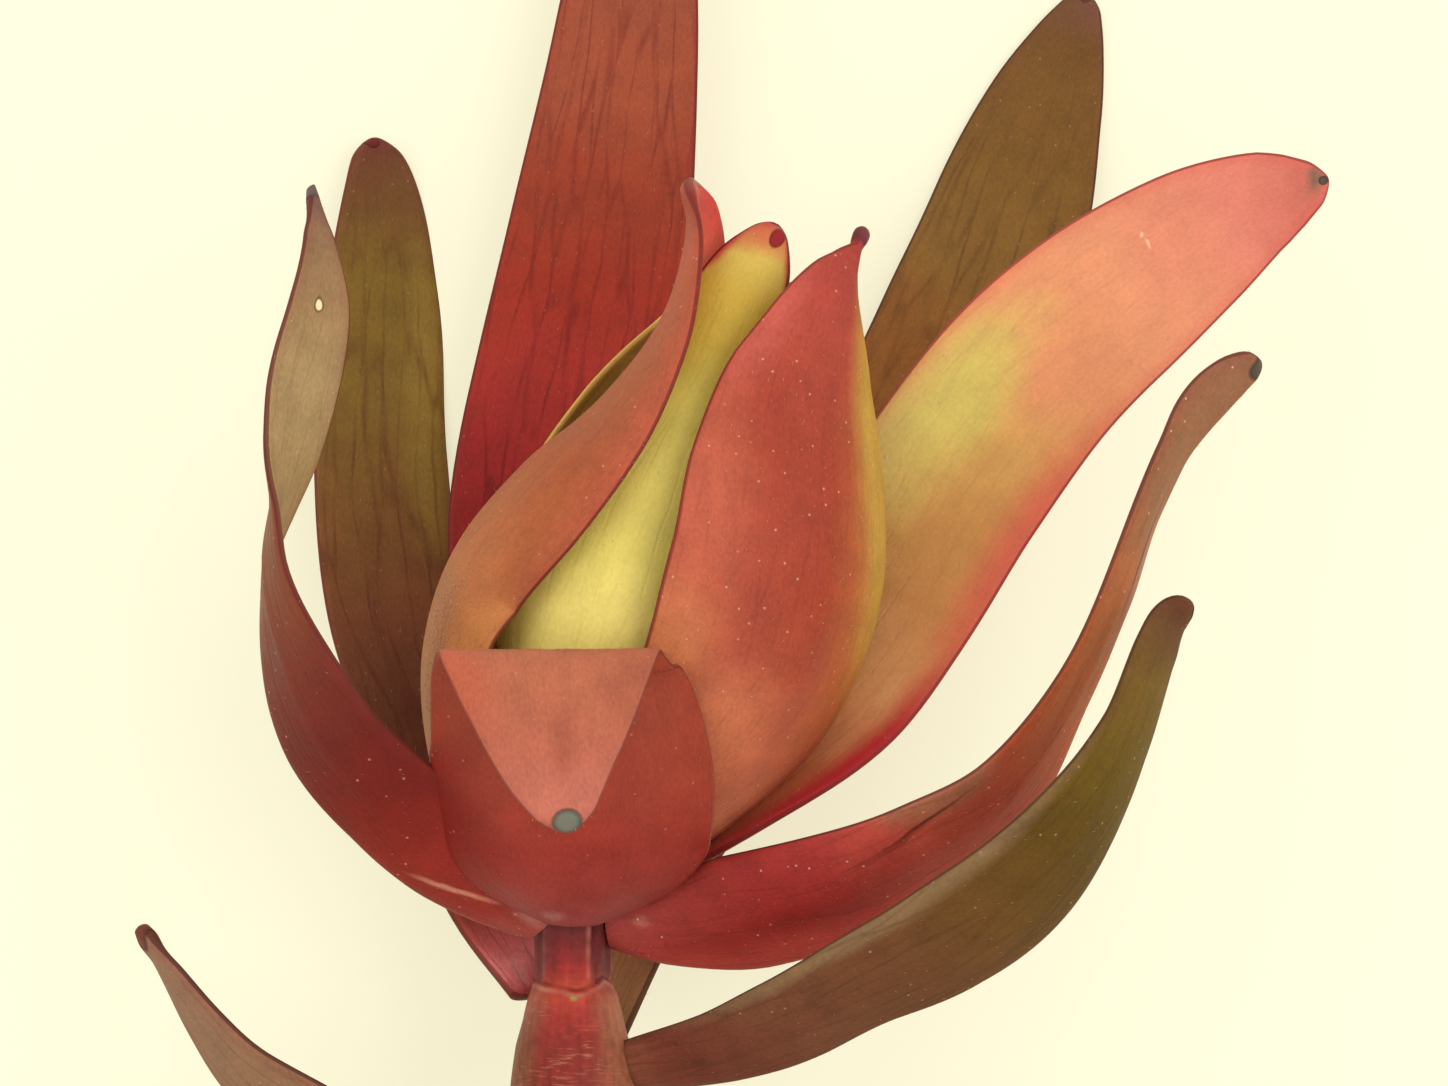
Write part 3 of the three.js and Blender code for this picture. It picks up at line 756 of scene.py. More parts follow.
@dataclass(frozen=True)
class LeafFinish:
    """The living skin of a conebush leaf or bract: waxy, faintly silky, with a net of veins.

    Colour runs along the blade in two ramps, one for each face. A thin dark line along the
    margin, a hard gland at the tip, a net of darker veins drawn out lengthwise and tiny pale
    tufts of hair give it its look close up.
    """

    name: str
    lower: tuple[tuple[float, str], ...]
    upper: tuple[tuple[float, str], ...]
    washes: tuple[Wash, ...] = ()
    margin: str = "4e1c18"
    margin_mm: float = 0.21
    margin_strength: float = 0.8
    flank: str = "8a2c22"
    flank_mm: float = 1.4
    flank_strength: float = 0.2
    vein: str = "5e1814"
    vein_mm: float = 1.7
    vein_strength: float = 0.25
    gland: Gland = Gland()
    speck: str = "d99a80"
    speck_strength: float = 0.5
    speck_mm: float = 1.1
    mottle: float = 0.2
    roughness: float = 0.5
    gloss: float = 0.2
    sheen: float = 0.02

    def veins(self, tree: bpy.types.NodeTree, s: Socket, place: Socket, width: float) -> Socket:
        """Draw a net of veins, its meshes seven times as long as they are wide.

        Args:
            tree: The material's nodes.
            s: The place across the blade, so that the net closes up with it.
            place: The place on the blade in millimetres: across, along and the face.
            width: The blade's greatest width, in mm.

        Returns:
            1 on a vein, 0 between veins.
        """
        slow = vector_node(tree, "MULTIPLY", place, (0.3, 0.08, 3))
        wobble = add_node(tree, NOISE, {0: slow, 2: 1.0, 3: 2.0})
        _, v, face = add_node(tree, SPLIT, {0: place}).node.outputs
        lanes = width / self.vein_mm / 2
        across = math_node(tree, "MULTIPLY_ADD", s, lanes, wobble)
        along = math_node(tree, "MULTIPLY", v, 1 / (7 * self.vein_mm))
        net_at = add_node(tree, JOIN, {0: across, 1: along, 2: face})
        edge = add_node(
            tree,
            CELLS,
            {"Vector": net_at, "Scale": 1.0, "Randomness": 0.85},
            out="Distance",
            feature="DISTANCE_TO_EDGE",
        )
        line = ease(tree, edge, 0.0, 0.1, (1.0, 0.0))
        broken = vector_node(tree, "MULTIPLY", place, (0.9, 0.12, 5))
        gaps = add_node(tree, NOISE, {0: broken, 2: 1.0, 3: 3.0})
        shown = add_node(tree, RANGE, {0: gaps, 1: 0.38, 2: 0.62, 3: 0.15, 4: 1.0})
        return math_node(tree, "MULTIPLY", line, shown)

    def build(self, length: float, width: float) -> bpy.types.Material:
        """Make the material for one blade.

        Args:
            length: The blade's length, in mm.
            width: Its greatest width, in mm.

        Returns:
            The material.
        """
        made, tree, solid = start_material(self.name)

        # Places on the blade: shares of its half width and length, and millimetres
        share = add_node(tree, ATTRIBUTE, out=1, attribute_name="blade_share")
        s, t, face = add_node(tree, SPLIT, {0: share}).node.outputs
        size = add_node(tree, ATTRIBUTE, out=1, attribute_name="blade_mm")
        u, v, edge = add_node(tree, SPLIT, {0: size}).node.outputs
        place = add_node(tree, JOIN, {0: u, 1: v, 2: face})

        # A slow drift, 7 mm across, keeps the colour changes from running in straight lines
        drift = add_node(tree, NOISE, {0: solid, 2: 1 / (7 * MM), 3: 3.0}, out=1)
        centred = vector_node(tree, "SUBTRACT", drift, (0.5, 0.5, 0.5))
        drift_s, drift_t, _ = add_node(tree, SPLIT, {0: centred}).node.outputs
        near_s = math_node(tree, "MULTIPLY_ADD", drift_s, 0.24, s)
        near_t = math_node(tree, "MULTIPLY_ADD", drift_t, 0.1, t)
        below = add_node(tree, RAMP, {0: near_t}, stops=self.lower)
        above = add_node(tree, RAMP, {0: near_t}, stops=self.upper)
        colour = lay_over(tree, face, below, above)

        # The flanks change colour towards the margin; patches and veins lie over them
        flank = ease(tree, edge, 0.0, self.flank_mm, (self.flank_strength, 0.0))
        colour = lay_over(tree, flank, colour, self.flank)
        for wash in self.washes:
            colour = wash.lay(tree, colour, near_s, near_t, face)
        vein = self.veins(tree, s, place, width)
        faded = ease(tree, t, 0.78, 0.97, (1.0, 0.15))
        vein = math_node(tree, "MULTIPLY", vein, faded)
        vein_mask = math_node(tree, "MULTIPLY", vein, self.vein_strength)
        colour = lay_over(tree, vein_mask, colour, self.vein)

        # Mottling 2.4 mm across and the skin's grain, drawn 0.32 mm coarse so that it shows
        mottle = add_node(tree, NOISE, {0: solid, 2: 1 / (2.4 * MM), 3: 4.0})
        grain_at = vector_node(tree, "MULTIPLY", place, (4.5, 2.4, 7))
        grain = add_node(tree, NOISE, {0: grain_at, 2: 1.0, 3: 2.0})
        both = math_node(tree, "ADD", mottle, grain)
        ends = {3: 1 - self.mottle, 4: 1 + self.mottle}
        shade = add_node(tree, RANGE, {0: both, 1: 0.6, 2: 1.4, **ends})
        colour = shade_by(tree, colour, shade)

        # Tiny tufts of hair show as pale specks 0.2 mm across, in half of the cells
        cell = add_node(tree, CELLS, {0: solid, 2: 1 / (self.speck_mm * MM)})
        chosen = add_node(tree, SPLIT, {0: cell.node.outputs[1]})
        dot = ease(tree, cell, 0.05, 0.14 / self.speck_mm, (1.0, 0.0))
        some = math_node(tree, "GREATER_THAN", chosen, 0.5)
        speck = math_node(tree, "MULTIPLY", dot, some)
        speck_mask = math_node(tree, "MULTIPLY", speck, self.speck_strength)
        colour = lay_over(tree, speck_mask, colour, self.speck)

        # A thin dark line along the margin, then the tip's hard gland with partly painted shade
        rim_ends = (self.margin_strength, 0.0)
        rim = ease(tree, edge, self.margin_mm * 0.6, self.margin_mm, rim_ends)
        colour = lay_over(tree, rim, colour, self.margin)
        bead, dark = self.gland.masks(tree, u, v, length)
        dome = lay_over(tree, dark, linear(self.gland.colour), self.gland.rim)
        colour = lay_over(tree, bead, colour, dome)

        # Relief, in millimetres: sunk veins, low mottling, fine grain, raised tufts and gland
        relief = math_node(tree, "MULTIPLY", vein, -0.03)
        for part, tall in ((mottle, 0.12), (grain, 0.035), (speck, 0.04), (bead, 0.25)):
            relief = math_node(tree, "MULTIPLY_ADD", part, tall, relief)
        bump = bump_by(tree, relief)
        low, high = self.roughness - 0.07, self.roughness + 0.07
        wax = add_node(tree, RANGE, {0: mottle, 1: 0.3, 2: 0.7, 3: low, 4: high})
        wax = math_node(tree, "MULTIPLY_ADD", bead, -0.3 * self.gland.shine, wax)
        end_material(
            tree,
            {
                "Base Color": colour,
                "Roughness": wax,
                "Normal": bump,
                "IOR": 1.42,
                "Specular IOR Level": self.gloss,
                "Sheen Weight": self.sheen,
                "Sheen Roughness": 0.5,
                "Sheen Tint": linear("f0c8a8"),
            },
        )
        return made


@dataclass
class Blade:
    """One leaf or bract: a thin blade that curls and twists along its midrib.

    turn is the way the blade's upper face looks: 0 shows the underside to the front of the
    flower, 180 the upper face, 90 an edge. arc is how far it rolls round its upper face, or
    towards inside where that is given. shift moves it off its midrib, in half widths. tip is
    the most that its last millimetres may measure across, by the distance from the tip. keel is
    the height of the ridge under the midrib, and keel_half how far it reaches to each side.
    """

    name: str
    slot: str
    finish: LeafFinish
    midrib: Points
    width: Stops
    arc: Stops
    turn: Stops | None = None
    inside: tuple[float, float, float] | None = None
    shift: Stops = ((0, 0), (1, 0))
    thickness: float = 0.8
    foot: float = 1.7
    callus: float = 1.35
    callus_length: float = 2.2
    tip: Stops = ((0, 60), (1, 60))
    down: tuple[Down, ...] = ()
    wave: float = 0.16
    keel: float = 0.12
    keel_half: float = 0.55
    rows: int = 72
    columns: int = 25
    line: Midrib = field(init=False)

    def __post_init__(self) -> None:
        """Sample the midrib once."""
        self.line = Midrib(self.midrib)

    @property
    def widest(self) -> float:
        """The blade's greatest width, in mm."""
        return max(value for _, value in self.width)

    def width_at(self, t: np.ndarray) -> np.ndarray:
        """Give the blade's width, in mm, at shares of its length."""
        from_tip = (1 - np.asarray(t)) * self.line.length
        return np.minimum(Profile(self.width).at(t), Profile(self.tip).at(from_tip))

    def stations(self) -> tuple[np.ndarray, np.ndarray]:
        """Place the rows, closer together where the ends round off.

        Returns:
            The rows' shares of the length, and how far each is drawn in towards its middle.
        """
        end = 1 - 0.62 * self.width_at(np.array([1.0]))[0] / self.line.length
        foot = 0.004
        bow = np.sin(np.linspace(0, np.pi / 2, 9)[1:-1])
        round_end = end + (1 - end) * bow
        body = foot + (end - foot) * (1 - (1 - np.linspace(0, 1, self.rows)) ** 1.25)
        places = np.concatenate([foot * (1 - bow[::-1]), body, round_end])
        drawn = np.ones_like(places)
        drawn[: len(bow)] = np.sqrt(1 - bow[::-1] ** 2)
        drawn[-len(bow) :] = np.sqrt(1 - bow**2)
        return places, drawn

    def middle(self, t: np.ndarray, s: np.ndarray) -> np.ndarray:
        """Give the sheet halfway between the two faces.

        Args:
            t: Shares of the length, one for each row.
            s: Shares of the half width, one row of them for each t.

        Returns:
            Points in mm in the flower's frame, by row and column.
        """
        centre, along = self.line.at(t)
        across = np.tile([1.0, 0.0, 0.0], (len(t), 1))
        if self.turn:
            angle = np.radians(Profile(self.turn).at(t))
            flat = unit(np.stack([along[:, 1], -along[:, 0], np.zeros_like(t)], axis=1))
            across = flat * np.cos(angle)[:, None]
            across[:, 2] = np.sin(angle)
        across = unit(across - along * np.sum(along * across, axis=1, keepdims=True))
        inside = np.cross(along, across)
        if self.inside:
            inside = np.tile(np.array(self.inside, float), (len(t), 1))
        roll = np.maximum(np.radians(Profile(self.arc).at(t)), 1e-3)[:, None]
        radius = self.width_at(t)[:, None] / roll
        a = (s + Profile(self.shift).at(t)[:, None]) * roll / 2
        side = (radius * np.sin(a))[..., None] * across[:, None]
        bowl = (radius * (1 - np.cos(a)))[..., None] * inside[:, None]
        return centre[:, None] + side + bowl

    def half_thickness(self, t: np.ndarray, s: np.ndarray) -> np.ndarray:
        """Give half the blade's thickness, which rounds off at the margins.

        Args:
            t: Shares of the length, one for each row.
            s: Shares of the half width, for each row and column.

        Returns:
            Half thicknesses in mm, by row and column.
        """
        start = 1 - self.callus_length / self.line.length
        swell = (start + 1) / 2
        body = Profile(
            (
                (0, self.foot),
                (0.14, self.thickness + 0.35 * (self.foot - self.thickness)),
                (0.32, self.thickness),
                (start - 0.02, self.thickness),
                (swell, self.callus),
                (1, self.callus * 0.8),
            )
        ).at(t)[:, None]
        half_width = self.width_at(t)[:, None] / 2
        lip = np.minimum(0.9, 0.55 * body / half_width)  # the share that the rounding takes
        over = np.clip((np.abs(s) - 1 + lip) / lip, 0, 1)
        thinned = 1 - 0.35 * s * s * (1 - smooth_step(start - 0.03, swell, t))[:, None]
        return body / 2 * thinned * np.sqrt(np.maximum(0, 1 - over**2))

    def waves(self, t: np.ndarray, s: np.ndarray) -> np.ndarray:
        """Give the small unevenness of a grown leaf, which differs from blade to blade.

        Args:
            t: Shares of the length, one for each row.
            s: Shares of the half width, for each row and column.

        Returns:
            How far each point is lifted towards the upper face, in mm.
        """
        chance = np.random.default_rng(sum(map(ord, self.name)))
        lift = np.zeros_like(s)
        for turns in (1.3, 2.3, 3.7):
            phase, side = chance.uniform(0, 2 * np.pi, 2)
            lean = np.sin(1.4 * s + side)
            lift += np.sin(2 * np.pi * turns * t[:, None] + phase) * lean * (0.35 + s * s) / turns
        held = smooth_step(0.08, 0.3, t) * (1 - smooth_step(0.93, 1.0, t))
        return self.wave * lift * held[:, None]

    def build(self) -> bpy.types.Object:
        """Make the blade's mesh and dress it.

        Returns:
            The blade.
        """
        t, drawn = self.stations()
        spread = np.sin(np.linspace(-1, 1, self.columns) * np.pi / 2)
        row = np.ones_like(t)[:, None]
        sheet = self.middle(t, row * spread)
        normal = unit(np.cross(np.gradient(sheet, t, axis=0), np.gradient(sheet, spread, axis=1)))
        drawn_s = spread * drawn[:, None]
        sheet = self.middle(t, drawn_s)
        sheet = sheet + normal * self.waves(t, drawn_s)[..., None]
        half = self.half_thickness(t, row * spread) * drawn[:, None]
        half_width = self.width_at(t)[:, None] / 2
        ridge = bell(drawn_s * half_width, self.keel_half) * self.keel
        ridge = ridge * (smooth_step(0.1, 0.2, t) * (1 - smooth_step(0.6, 0.9, t)))[:, None]
        upper = sheet + normal * (half - 0.5 * ridge)[..., None]
        lower = sheet - normal * (half + ridge)[..., None]
        lower[:, [0, -1]] = upper[:, [0, -1]] = sheet[:, [0, -1]]

        inner = slice(self.columns - 2, 0, -1)
        loops = np.concatenate([upper, lower[:, inner]], axis=1)
        around = loops.shape[1]
        s_loop = np.concatenate([drawn_s, drawn_s[:, inner]], axis=1)
        face = np.concatenate([[0.5], np.ones(self.columns - 2), [0.5], np.zeros(self.columns - 2)])
        t_loop = np.repeat(t[:, None], around, axis=1)
        width = s_loop * half_width
        length = self.line.length
        edge = np.minimum(half_width * drawn[:, None] - np.abs(width), (1 - t_loop) * length)
        share = np.stack([s_loop, t_loop, np.tile(face, (len(t), 1))], axis=-1)
        size = np.stack([width, t_loop * length, np.maximum(edge, 0)], axis=-1)

        ends = self.line.at(np.array([0.0, 1.0]))[0]
        points = np.concatenate([loops.reshape(-1, 3), ends])
        ends_share = np.array([[0.0, 0.0, 0.5], [0.0, 1.0, 0.5]])
        ends_size = np.array([[0.0, 0.0, 0.0], [0.0, length, 0.0]])
        growth = np.repeat(self.line.at(t)[1][:, None], around, axis=1).reshape(-1, 3)
        thick = np.full(s_loop.shape, 0.004)
        for patch in self.down:
            thick = np.maximum(thick, patch.at(s_loop, t_loop))
        growth = growth * thick.reshape(-1, 1)
        growth = np.concatenate([growth, growth[[0, -1]]])
        return make_piece(
            self.name + "_blade",
            lay_down(points),
            tube_faces(len(t), around),
            [self.finish.build(length, self.widest)],
            {
                "blade_share": np.concatenate([share.reshape(-1, 3), ends_share]),
                "blade_mm": np.concatenate([size.reshape(-1, 3), ends_size]),
                "growth": turn_down(growth),
            },
        )


@dataclass(frozen=True)
class StemFinish:
    """The bark of a young conebush stem: smooth and red, browner on its sides.

    The front of the stem is flushed red and its flanks are brown. The neck runs from orange-red
    at the joint to purple under the head. Ridges and the rims of scars are pale, and fine silky
    lines run round it in patches. Below the joint the side that the light falls on is painted
    paler as painted light, and the furrows are darkened as painted shade.
    """

    name: str = "young_red_conebush_bark"
    front: tuple[tuple[float, str], ...] = (
        (0.0, "7a4430"), (0.3, "80402c"), (0.6, "843627"), (0.8, "862e25"), (1.0, "882a24")
    )
    flank: tuple[tuple[float, str], ...] = (
        (0.0, "6c4a34"), (0.4, "704a32"), (0.8, "784830"), (1.0, "7e462e")
    )
    crown_front: tuple[tuple[float, str], ...] = (
        (0.0, "832822"), (0.3, "852b24"), (0.42, "983028"), (0.5, "a5392b"), (0.6, "a83f2e"),
        (0.65, "a23028"), (0.7, "8e2724"), (0.77, "7a2524"), (0.86, "6b2424"), (1.0, "4c1e1e"),
    )
    crown_flank: tuple[tuple[float, str], ...] = (
        (0.0, "7e462e"), (0.3, "804630"), (0.42, "90483a"), (0.5, "a0503e"), (0.6, "8a4238"),
        (0.66, "703230"), (0.8, "662a2a"), (1.0, "461e1e"),
    )
    # Painted light: the paler colour of the side that the light falls on
    painted_lit_side: str = "a8684e"
    ridge: str = "bb7a68"
    # Painted shade in the furrows; the bundle's trace takes it as a dark ring too
    groove: str = "541a1c"
    scar: str = "a08c50"
    silk: str = "b4745a"
    crown_mm: tuple[float, float] = (-12.0, 2.0)
    roughness: float = 0.5

    def build(self, low: float, high: float) -> bpy.types.Material:
        """Make the bark.

        Args:
            low: The lowest place along the stem, in mm.
            high: The highest.

        Returns:
            The material.
        """
        made, tree, solid = start_material(self.name)
        round_at = add_node(tree, ATTRIBUTE, out=1, attribute_name="stem_round")
        side, along, front = add_node(tree, SPLIT, {0: round_at}).node.outputs
        relief_at = add_node(tree, ATTRIBUTE, out=1, attribute_name="stem_relief")
        _, scar, ridge = add_node(tree, SPLIT, {0: relief_at}).node.outputs

        # Colour by height and by side, drifting in patches about 3 mm across
        drift = add_node(tree, NOISE, {0: solid, 2: 1 / (3 * MM), 3: 4.0})
        wander = math_node(tree, "SUBTRACT", drift, 0.5)
        at = math_node(tree, "MULTIPLY_ADD", wander, 1.6, along)
        height = add_node(tree, RANGE, {0: at, 1: low, 2: high})
        crown = add_node(tree, RANGE, {0: at, 1: self.crown_mm[0], 2: self.crown_mm[1]})
        near_top = math_node(tree, "GREATER_THAN", crown, 0.001)
        faces = []
        for whole, top in ((self.flank, self.crown_flank), (self.front, self.crown_front)):
            shaft = add_node(tree, RAMP, {0: height}, stops=whole)
            neck = add_node(tree, RAMP, {0: crown}, stops=top)
            faces.append(lay_over(tree, near_top, shaft, neck))
        facing = math_node(tree, "MULTIPLY_ADD", drift, 0.5, front)
        colour = lay_over(tree, ease(tree, facing, 0.85, 1.22), *faces)

        # Painted light: the side that the light falls on is painted paler below the joint
        lit_mask = add_node(tree, RANGE, {0: side, 1: 0.35, 2: 0.85, 3: 0.0, 4: 0.75})
        below = add_node(tree, RANGE, {0: along, 1: JOINT_Y - 0.2, 2: JOINT_Y - 1.2})
        lit_mask = math_node(tree, "MULTIPLY", lit_mask, below)
        colour = lay_over(tree, lit_mask, colour, self.painted_lit_side)

        # Fine silky lines round the stem, drawn 0.2 mm apart and 1 mm long so that they show
        lines_at = vector_node(tree, "MULTIPLY", solid, (1000.0, 6200.0, 1000.0))
        lines = add_node(tree, NOISE, {0: lines_at, 2: 1.0, 3: 2.0})
        patch = add_node(tree, NOISE, {0: solid, 2: 1 / (2.6 * MM), 3: 2.0})
        shown = add_node(tree, RANGE, {0: patch, 1: 0.42, 2: 0.6, 3: 0.05, 4: 0.5})
        silk = add_node(tree, RANGE, {0: lines, 1: 0.56, 2: 0.68})
        silk = math_node(tree, "MULTIPLY", silk, shown)
        silk = math_node(tree, "MULTIPLY", silk, below)
        colour = lay_over(tree, silk, colour, self.silk)
        fibre_at = vector_node(tree, "MULTIPLY", solid, (1700.0, 130.0, 1700.0))
        fibres = add_node(tree, NOISE, {0: fibre_at, 2: 1.0, 3: 3.0})
        mottle = add_node(tree, NOISE, {0: solid, 2: 1 / (0.6 * MM), 3: 3.0})
        both = math_node(tree, "ADD", fibres, mottle)
        shade = add_node(tree, RANGE, {0: both, 1: 0.6, 2: 1.4, 3: 0.72, 4: 1.28})
        colour = shade_by(tree, colour, shade)

        # Pale crests and rims, furrows darkened as painted shade, and the corky shields of scars
        marks = (
            (ridge, 0.85, 0.8, self.ridge), (ridge, -0.85, 0.8, self.groove),
            (scar, 1.0, 0.85, self.scar),
        )
        for mark, full, most, tint in marks:
            mask = add_node(tree, RANGE, {0: mark, 1: 0.0, 2: full, 3: 0.0, 4: most})
            colour = lay_over(tree, mask, colour, tint)
        relief = math_node(tree, "MULTIPLY", silk, 0.05)
        relief = math_node(tree, "MULTIPLY_ADD", fibres, 0.08, relief)
        relief = math_node(tree, "MULTIPLY_ADD", mottle, 0.12, relief)
        bump = bump_by(tree, relief)
        low_wax, high_wax = self.roughness - 0.08, self.roughness + 0.08
        wax = add_node(tree, RANGE, {0: drift, 3: low_wax, 4: high_wax})
        end_material(
            tree,
            {
                "Base Color": colour,
                "Roughness": wax,
                "Normal": bump,
                "IOR": 1.42,
                "Specular IOR Level": 0.22,
            },
        )
        return made


@dataclass(frozen=True)
class CutWoodFinish:
    """The slanting cut: greenish bark, a pale ring of damp wood and a soft white pith."""

    name: str = "freshly_cut_conebush_wood"
    rings: tuple[tuple[float, str], ...] = (
        (0.0, "e6dcb8"), (0.2, "dfd2a4"), (0.28, "b8a468"), (0.34, "cdbb80"), (0.8, "c2ad72"),
        (0.86, "8f8a4a"), (0.95, "7d5a35"), (1.0, "6b3524"),
    )

    def build(self) -> bpy.types.Material:
        """Make the wood, from the share of the radius that each point stands at.

        Returns:
            The material.
        """
        made, tree, solid = start_material(self.name)
        relief_at = add_node(tree, ATTRIBUTE, out=1, attribute_name="stem_relief")
        radial = add_node(tree, SPLIT, {0: relief_at})
        grain = add_node(tree, NOISE, {0: solid, 2: 1 / (0.5 * MM), 3: 3.0})
        uneven = math_node(tree, "MULTIPLY_ADD", grain, 0.08, radial)
        share = math_node(tree, "SUBTRACT", uneven, 0.04)
        colour = add_node(tree, RAMP, {0: share}, stops=self.rings)
        relief = math_node(tree, "MULTIPLY", grain, 0.08)
        bump = bump_by(tree, relief, 0.7)
        rough = add_node(tree, RANGE, {0: grain, 3: 0.5, 4: 0.7})
        end_material(tree, {"Base Color": colour, "Roughness": rough, "Normal": bump})
        return made


@dataclass
class Bark:
    """What stands out of the round bark, at each of a set of places."""

    height: np.ndarray  # in mm
    scar: np.ndarray  # 1 on a corky scar
    # A furrow's dark colour is painted shade
    ridge: np.ndarray  # 1 on a pale crest, -1 in a dark furrow


@dataclass
class Stem:
    """The stem: a slim fluted neck, the joint under it and a long shoot cut on a slant.

    rings gives the bare radius by place along Y. Rows of points stand step apart, and closer at
    the neck; they lean with the cut up to sheared_to. cut_rings are the rings of the cut face:
    the share of the radius, and how far each is sunk. From the first of dots_end to the second
    the corky dots grow fewer and stop.
    """

    leaf_feet: tuple[tuple[float, float], ...]
    scars: tuple[tuple[float, float], ...]
    rings: Stops = (
        (CUT_Y - 8, STEM_RADIUS + 0.3), (CUT_Y + 4, STEM_RADIUS + 0.25),
        (-165, STEM_RADIUS + 0.2), (-145, STEM_RADIUS + 0.15), (-125, STEM_RADIUS + 0.05),
        (-105, STEM_RADIUS), (-85, STEM_RADIUS), (-65, STEM_RADIUS - 0.1),
        (-48, STEM_RADIUS - 0.1), (-34, STEM_RADIUS), (-22, STEM_RADIUS + 0.4),
        (-13, STEM_RADIUS + 0.65), (-9, STEM_RADIUS + 0.25), (-6.8, STEM_RADIUS - 0.35),
        (-5.6, STEM_RADIUS - 0.65), (JOINT_Y - 0.4, NECK_RADIUS + 0.55),
        (JOINT_Y, NECK_RADIUS + 0.35), (JOINT_Y + 0.6, NECK_RADIUS + 0.2),
        (-1.6, NECK_RADIUS + 0.15), (0.4, NECK_RADIUS + 0.25), (3, NECK_RADIUS + 0.5),
        (6, NECK_RADIUS + 0.2), (8, NECK_RADIUS - 0.6),
    )
    flutes: tuple[float, ...] = (26.0, 88.0, 145.0, 200.0, 262.0, 314.0)
    sides: int = 108
    step: float = 0.5
    sheared_to: float = -170.0
    cut_rings: Stops = ((0.18, 0.16), (0.3, 0.08), (0.5, 0), (0.7, 0), (0.85, 0.03), (0.94, 0.05),
        (0.985, 0))
    dots_end: tuple[float, float] = (-26.0, -14.0)
    bark: StemFinish = StemFinish()
    wood: CutWoodFinish = CutWoodFinish()

    def radius(self, y: np.ndarray) -> np.ndarray:
        """Give the bare radius at places along the stem."""
        return Profile(self.rings).at(y)

    def blob(
        self, y: np.ndarray, azimuth: np.ndarray, at: tuple[float, float], size: tuple[float, float]
    ) -> np.ndarray:
        """Give a smooth mound on the bark.

        Args:
            y: Places along the stem.
            azimuth: Directions round it, in degrees.
            at: The mound's place and direction.
            size: Its half length round the stem and along it, in mm.

        Returns:
            1 at its top, falling to 0 at its edge.
        """
        across = np.radians(turned_from(azimuth, at[1])) * STEM_RADIUS / size[0]
        return np.clip(1 - across**2 - ((y - at[0]) / size[1]) ** 2, 0, 1) ** 0.75

    def rim_height(self, azimuth: np.ndarray) -> np.ndarray:
        """Give the height of the joint's rim, which dips in front and rises at its right.

        Args:
            azimuth: Directions round the stem, in degrees.

        Returns:
            The rim's place along Y for each.
        """
        rim = np.full(np.shape(azimuth), JOINT_Y)
        for middle, spread, rise in ((8, 18, -0.3), (58, 16, 0.5), (290, 25, 0.15)):
            rim = rim + rise * bell(turned_from(azimuth, middle), spread)
        return rim

    def grow_scars(self, bark: Bark, y: np.ndarray, azimuth: np.ndarray) -> None:
        """Raise the corky shields of fallen leaves, with their buds, and the leaves' cushions.

        Args:
            bark: What stands out so far.
            y: Places along the stem.
            azimuth: Directions round it, in degrees.
        """
        for at in self.scars:
            shield = self.blob(y, azimuth, at, (2.3, 1.3))
            dent = self.blob(y, azimuth, (at[0] - 0.1, at[1]), (1.2, 0.55))
            bark.height += 0.7 * shield - 0.3 * dent
            bark.scar = np.maximum(bark.scar, np.minimum(1, 1.6 * shield))
            bark.height += 0.5 * self.blob(y, azimuth, (at[0] + 2.1, at[1]), (1.4, 1.7))
        for at in self.leaf_feet:
            bark.height += 0.55 * self.blob(y, azimuth, (at[0] - 1.4, at[1]), (2.8, 2.2))
            keel = self.blob(y, azimuth, (at[0] - 7.0, at[1]), (1.3, 7.5))
            bark.height += 0.22 * keel
            bark.ridge = np.maximum(bark.ridge, 0.25 * keel)

    def flute_neck(self, bark: Bark, y: np.ndarray, azimuth: np.ndarray) -> None:
        """Raise the neck's flutes and the small fold in front of it.

        Their crests are pale, painted paler still on the lit side as painted light; the furrows
        beside them and a line in the fold are darkened as painted shade.

        Args:
            bark: What stands out so far.
            y: Places along the stem.
            azimuth: Directions round it, in degrees.
        """
        neck = smooth_step(JOINT_Y + 0.3, JOINT_Y + 1.0, y) * (1 - smooth_step(1.5, 4, y))
        shoulder = smooth_step(-9.5, -5.2, y) * (1 - smooth_step(JOINT_Y - 0.6, JOINT_Y, y))
        for flute in self.flutes:
            turned = turned_from(azimuth, flute)
            # Painted shade darkens the furrow on each side of a crest
            furrow = bell(np.abs(turned) - 17, 7)
            bark.height += (0.34 * neck + 0.1 * shoulder) * bell(turned, 8)
            # Painted light: crests on the lit side, under 180 degrees, are painted paler
            pale = 0.5 if flute < 180 else 0.22
            pale = pale * (0.7 + 0.3 * np.sin(4.1 * y + flute))
            bark.ridge += neck * (pale * bell(turned, 3.6) - 0.3 * furrow)
        bark.height -= 0.16 * neck
        fold = bell(turned_from(azimuth, -8), 26)
        bark.height += 0.1 * fold * bell(y - JOINT_Y - 1.0, 0.3)
        # Painted shade: a dark line in the crease of the fold
        bark.ridge -= 0.3 * fold * bell(y - JOINT_Y - 1.45, 0.14)

    def rim_joint(self, bark: Bark, y: np.ndarray, azimuth: np.ndarray) -> None:
        """Draw the joint: its pale rim, the furrow over it, a bud in front and a bundle's trace.

        The furrow is darkened as painted shade.

        Args:
            bark: What stands out so far.
            y: Places along the stem.
            azimuth: Directions round it, in degrees.
        """
        off = y - self.rim_height(azimuth)
        uneven = 0.72 + 0.28 * np.sin(np.radians(azimuth * 7 + 40))
        bark.height += 0.12 * bell(off + 0.05, 0.28) * uneven
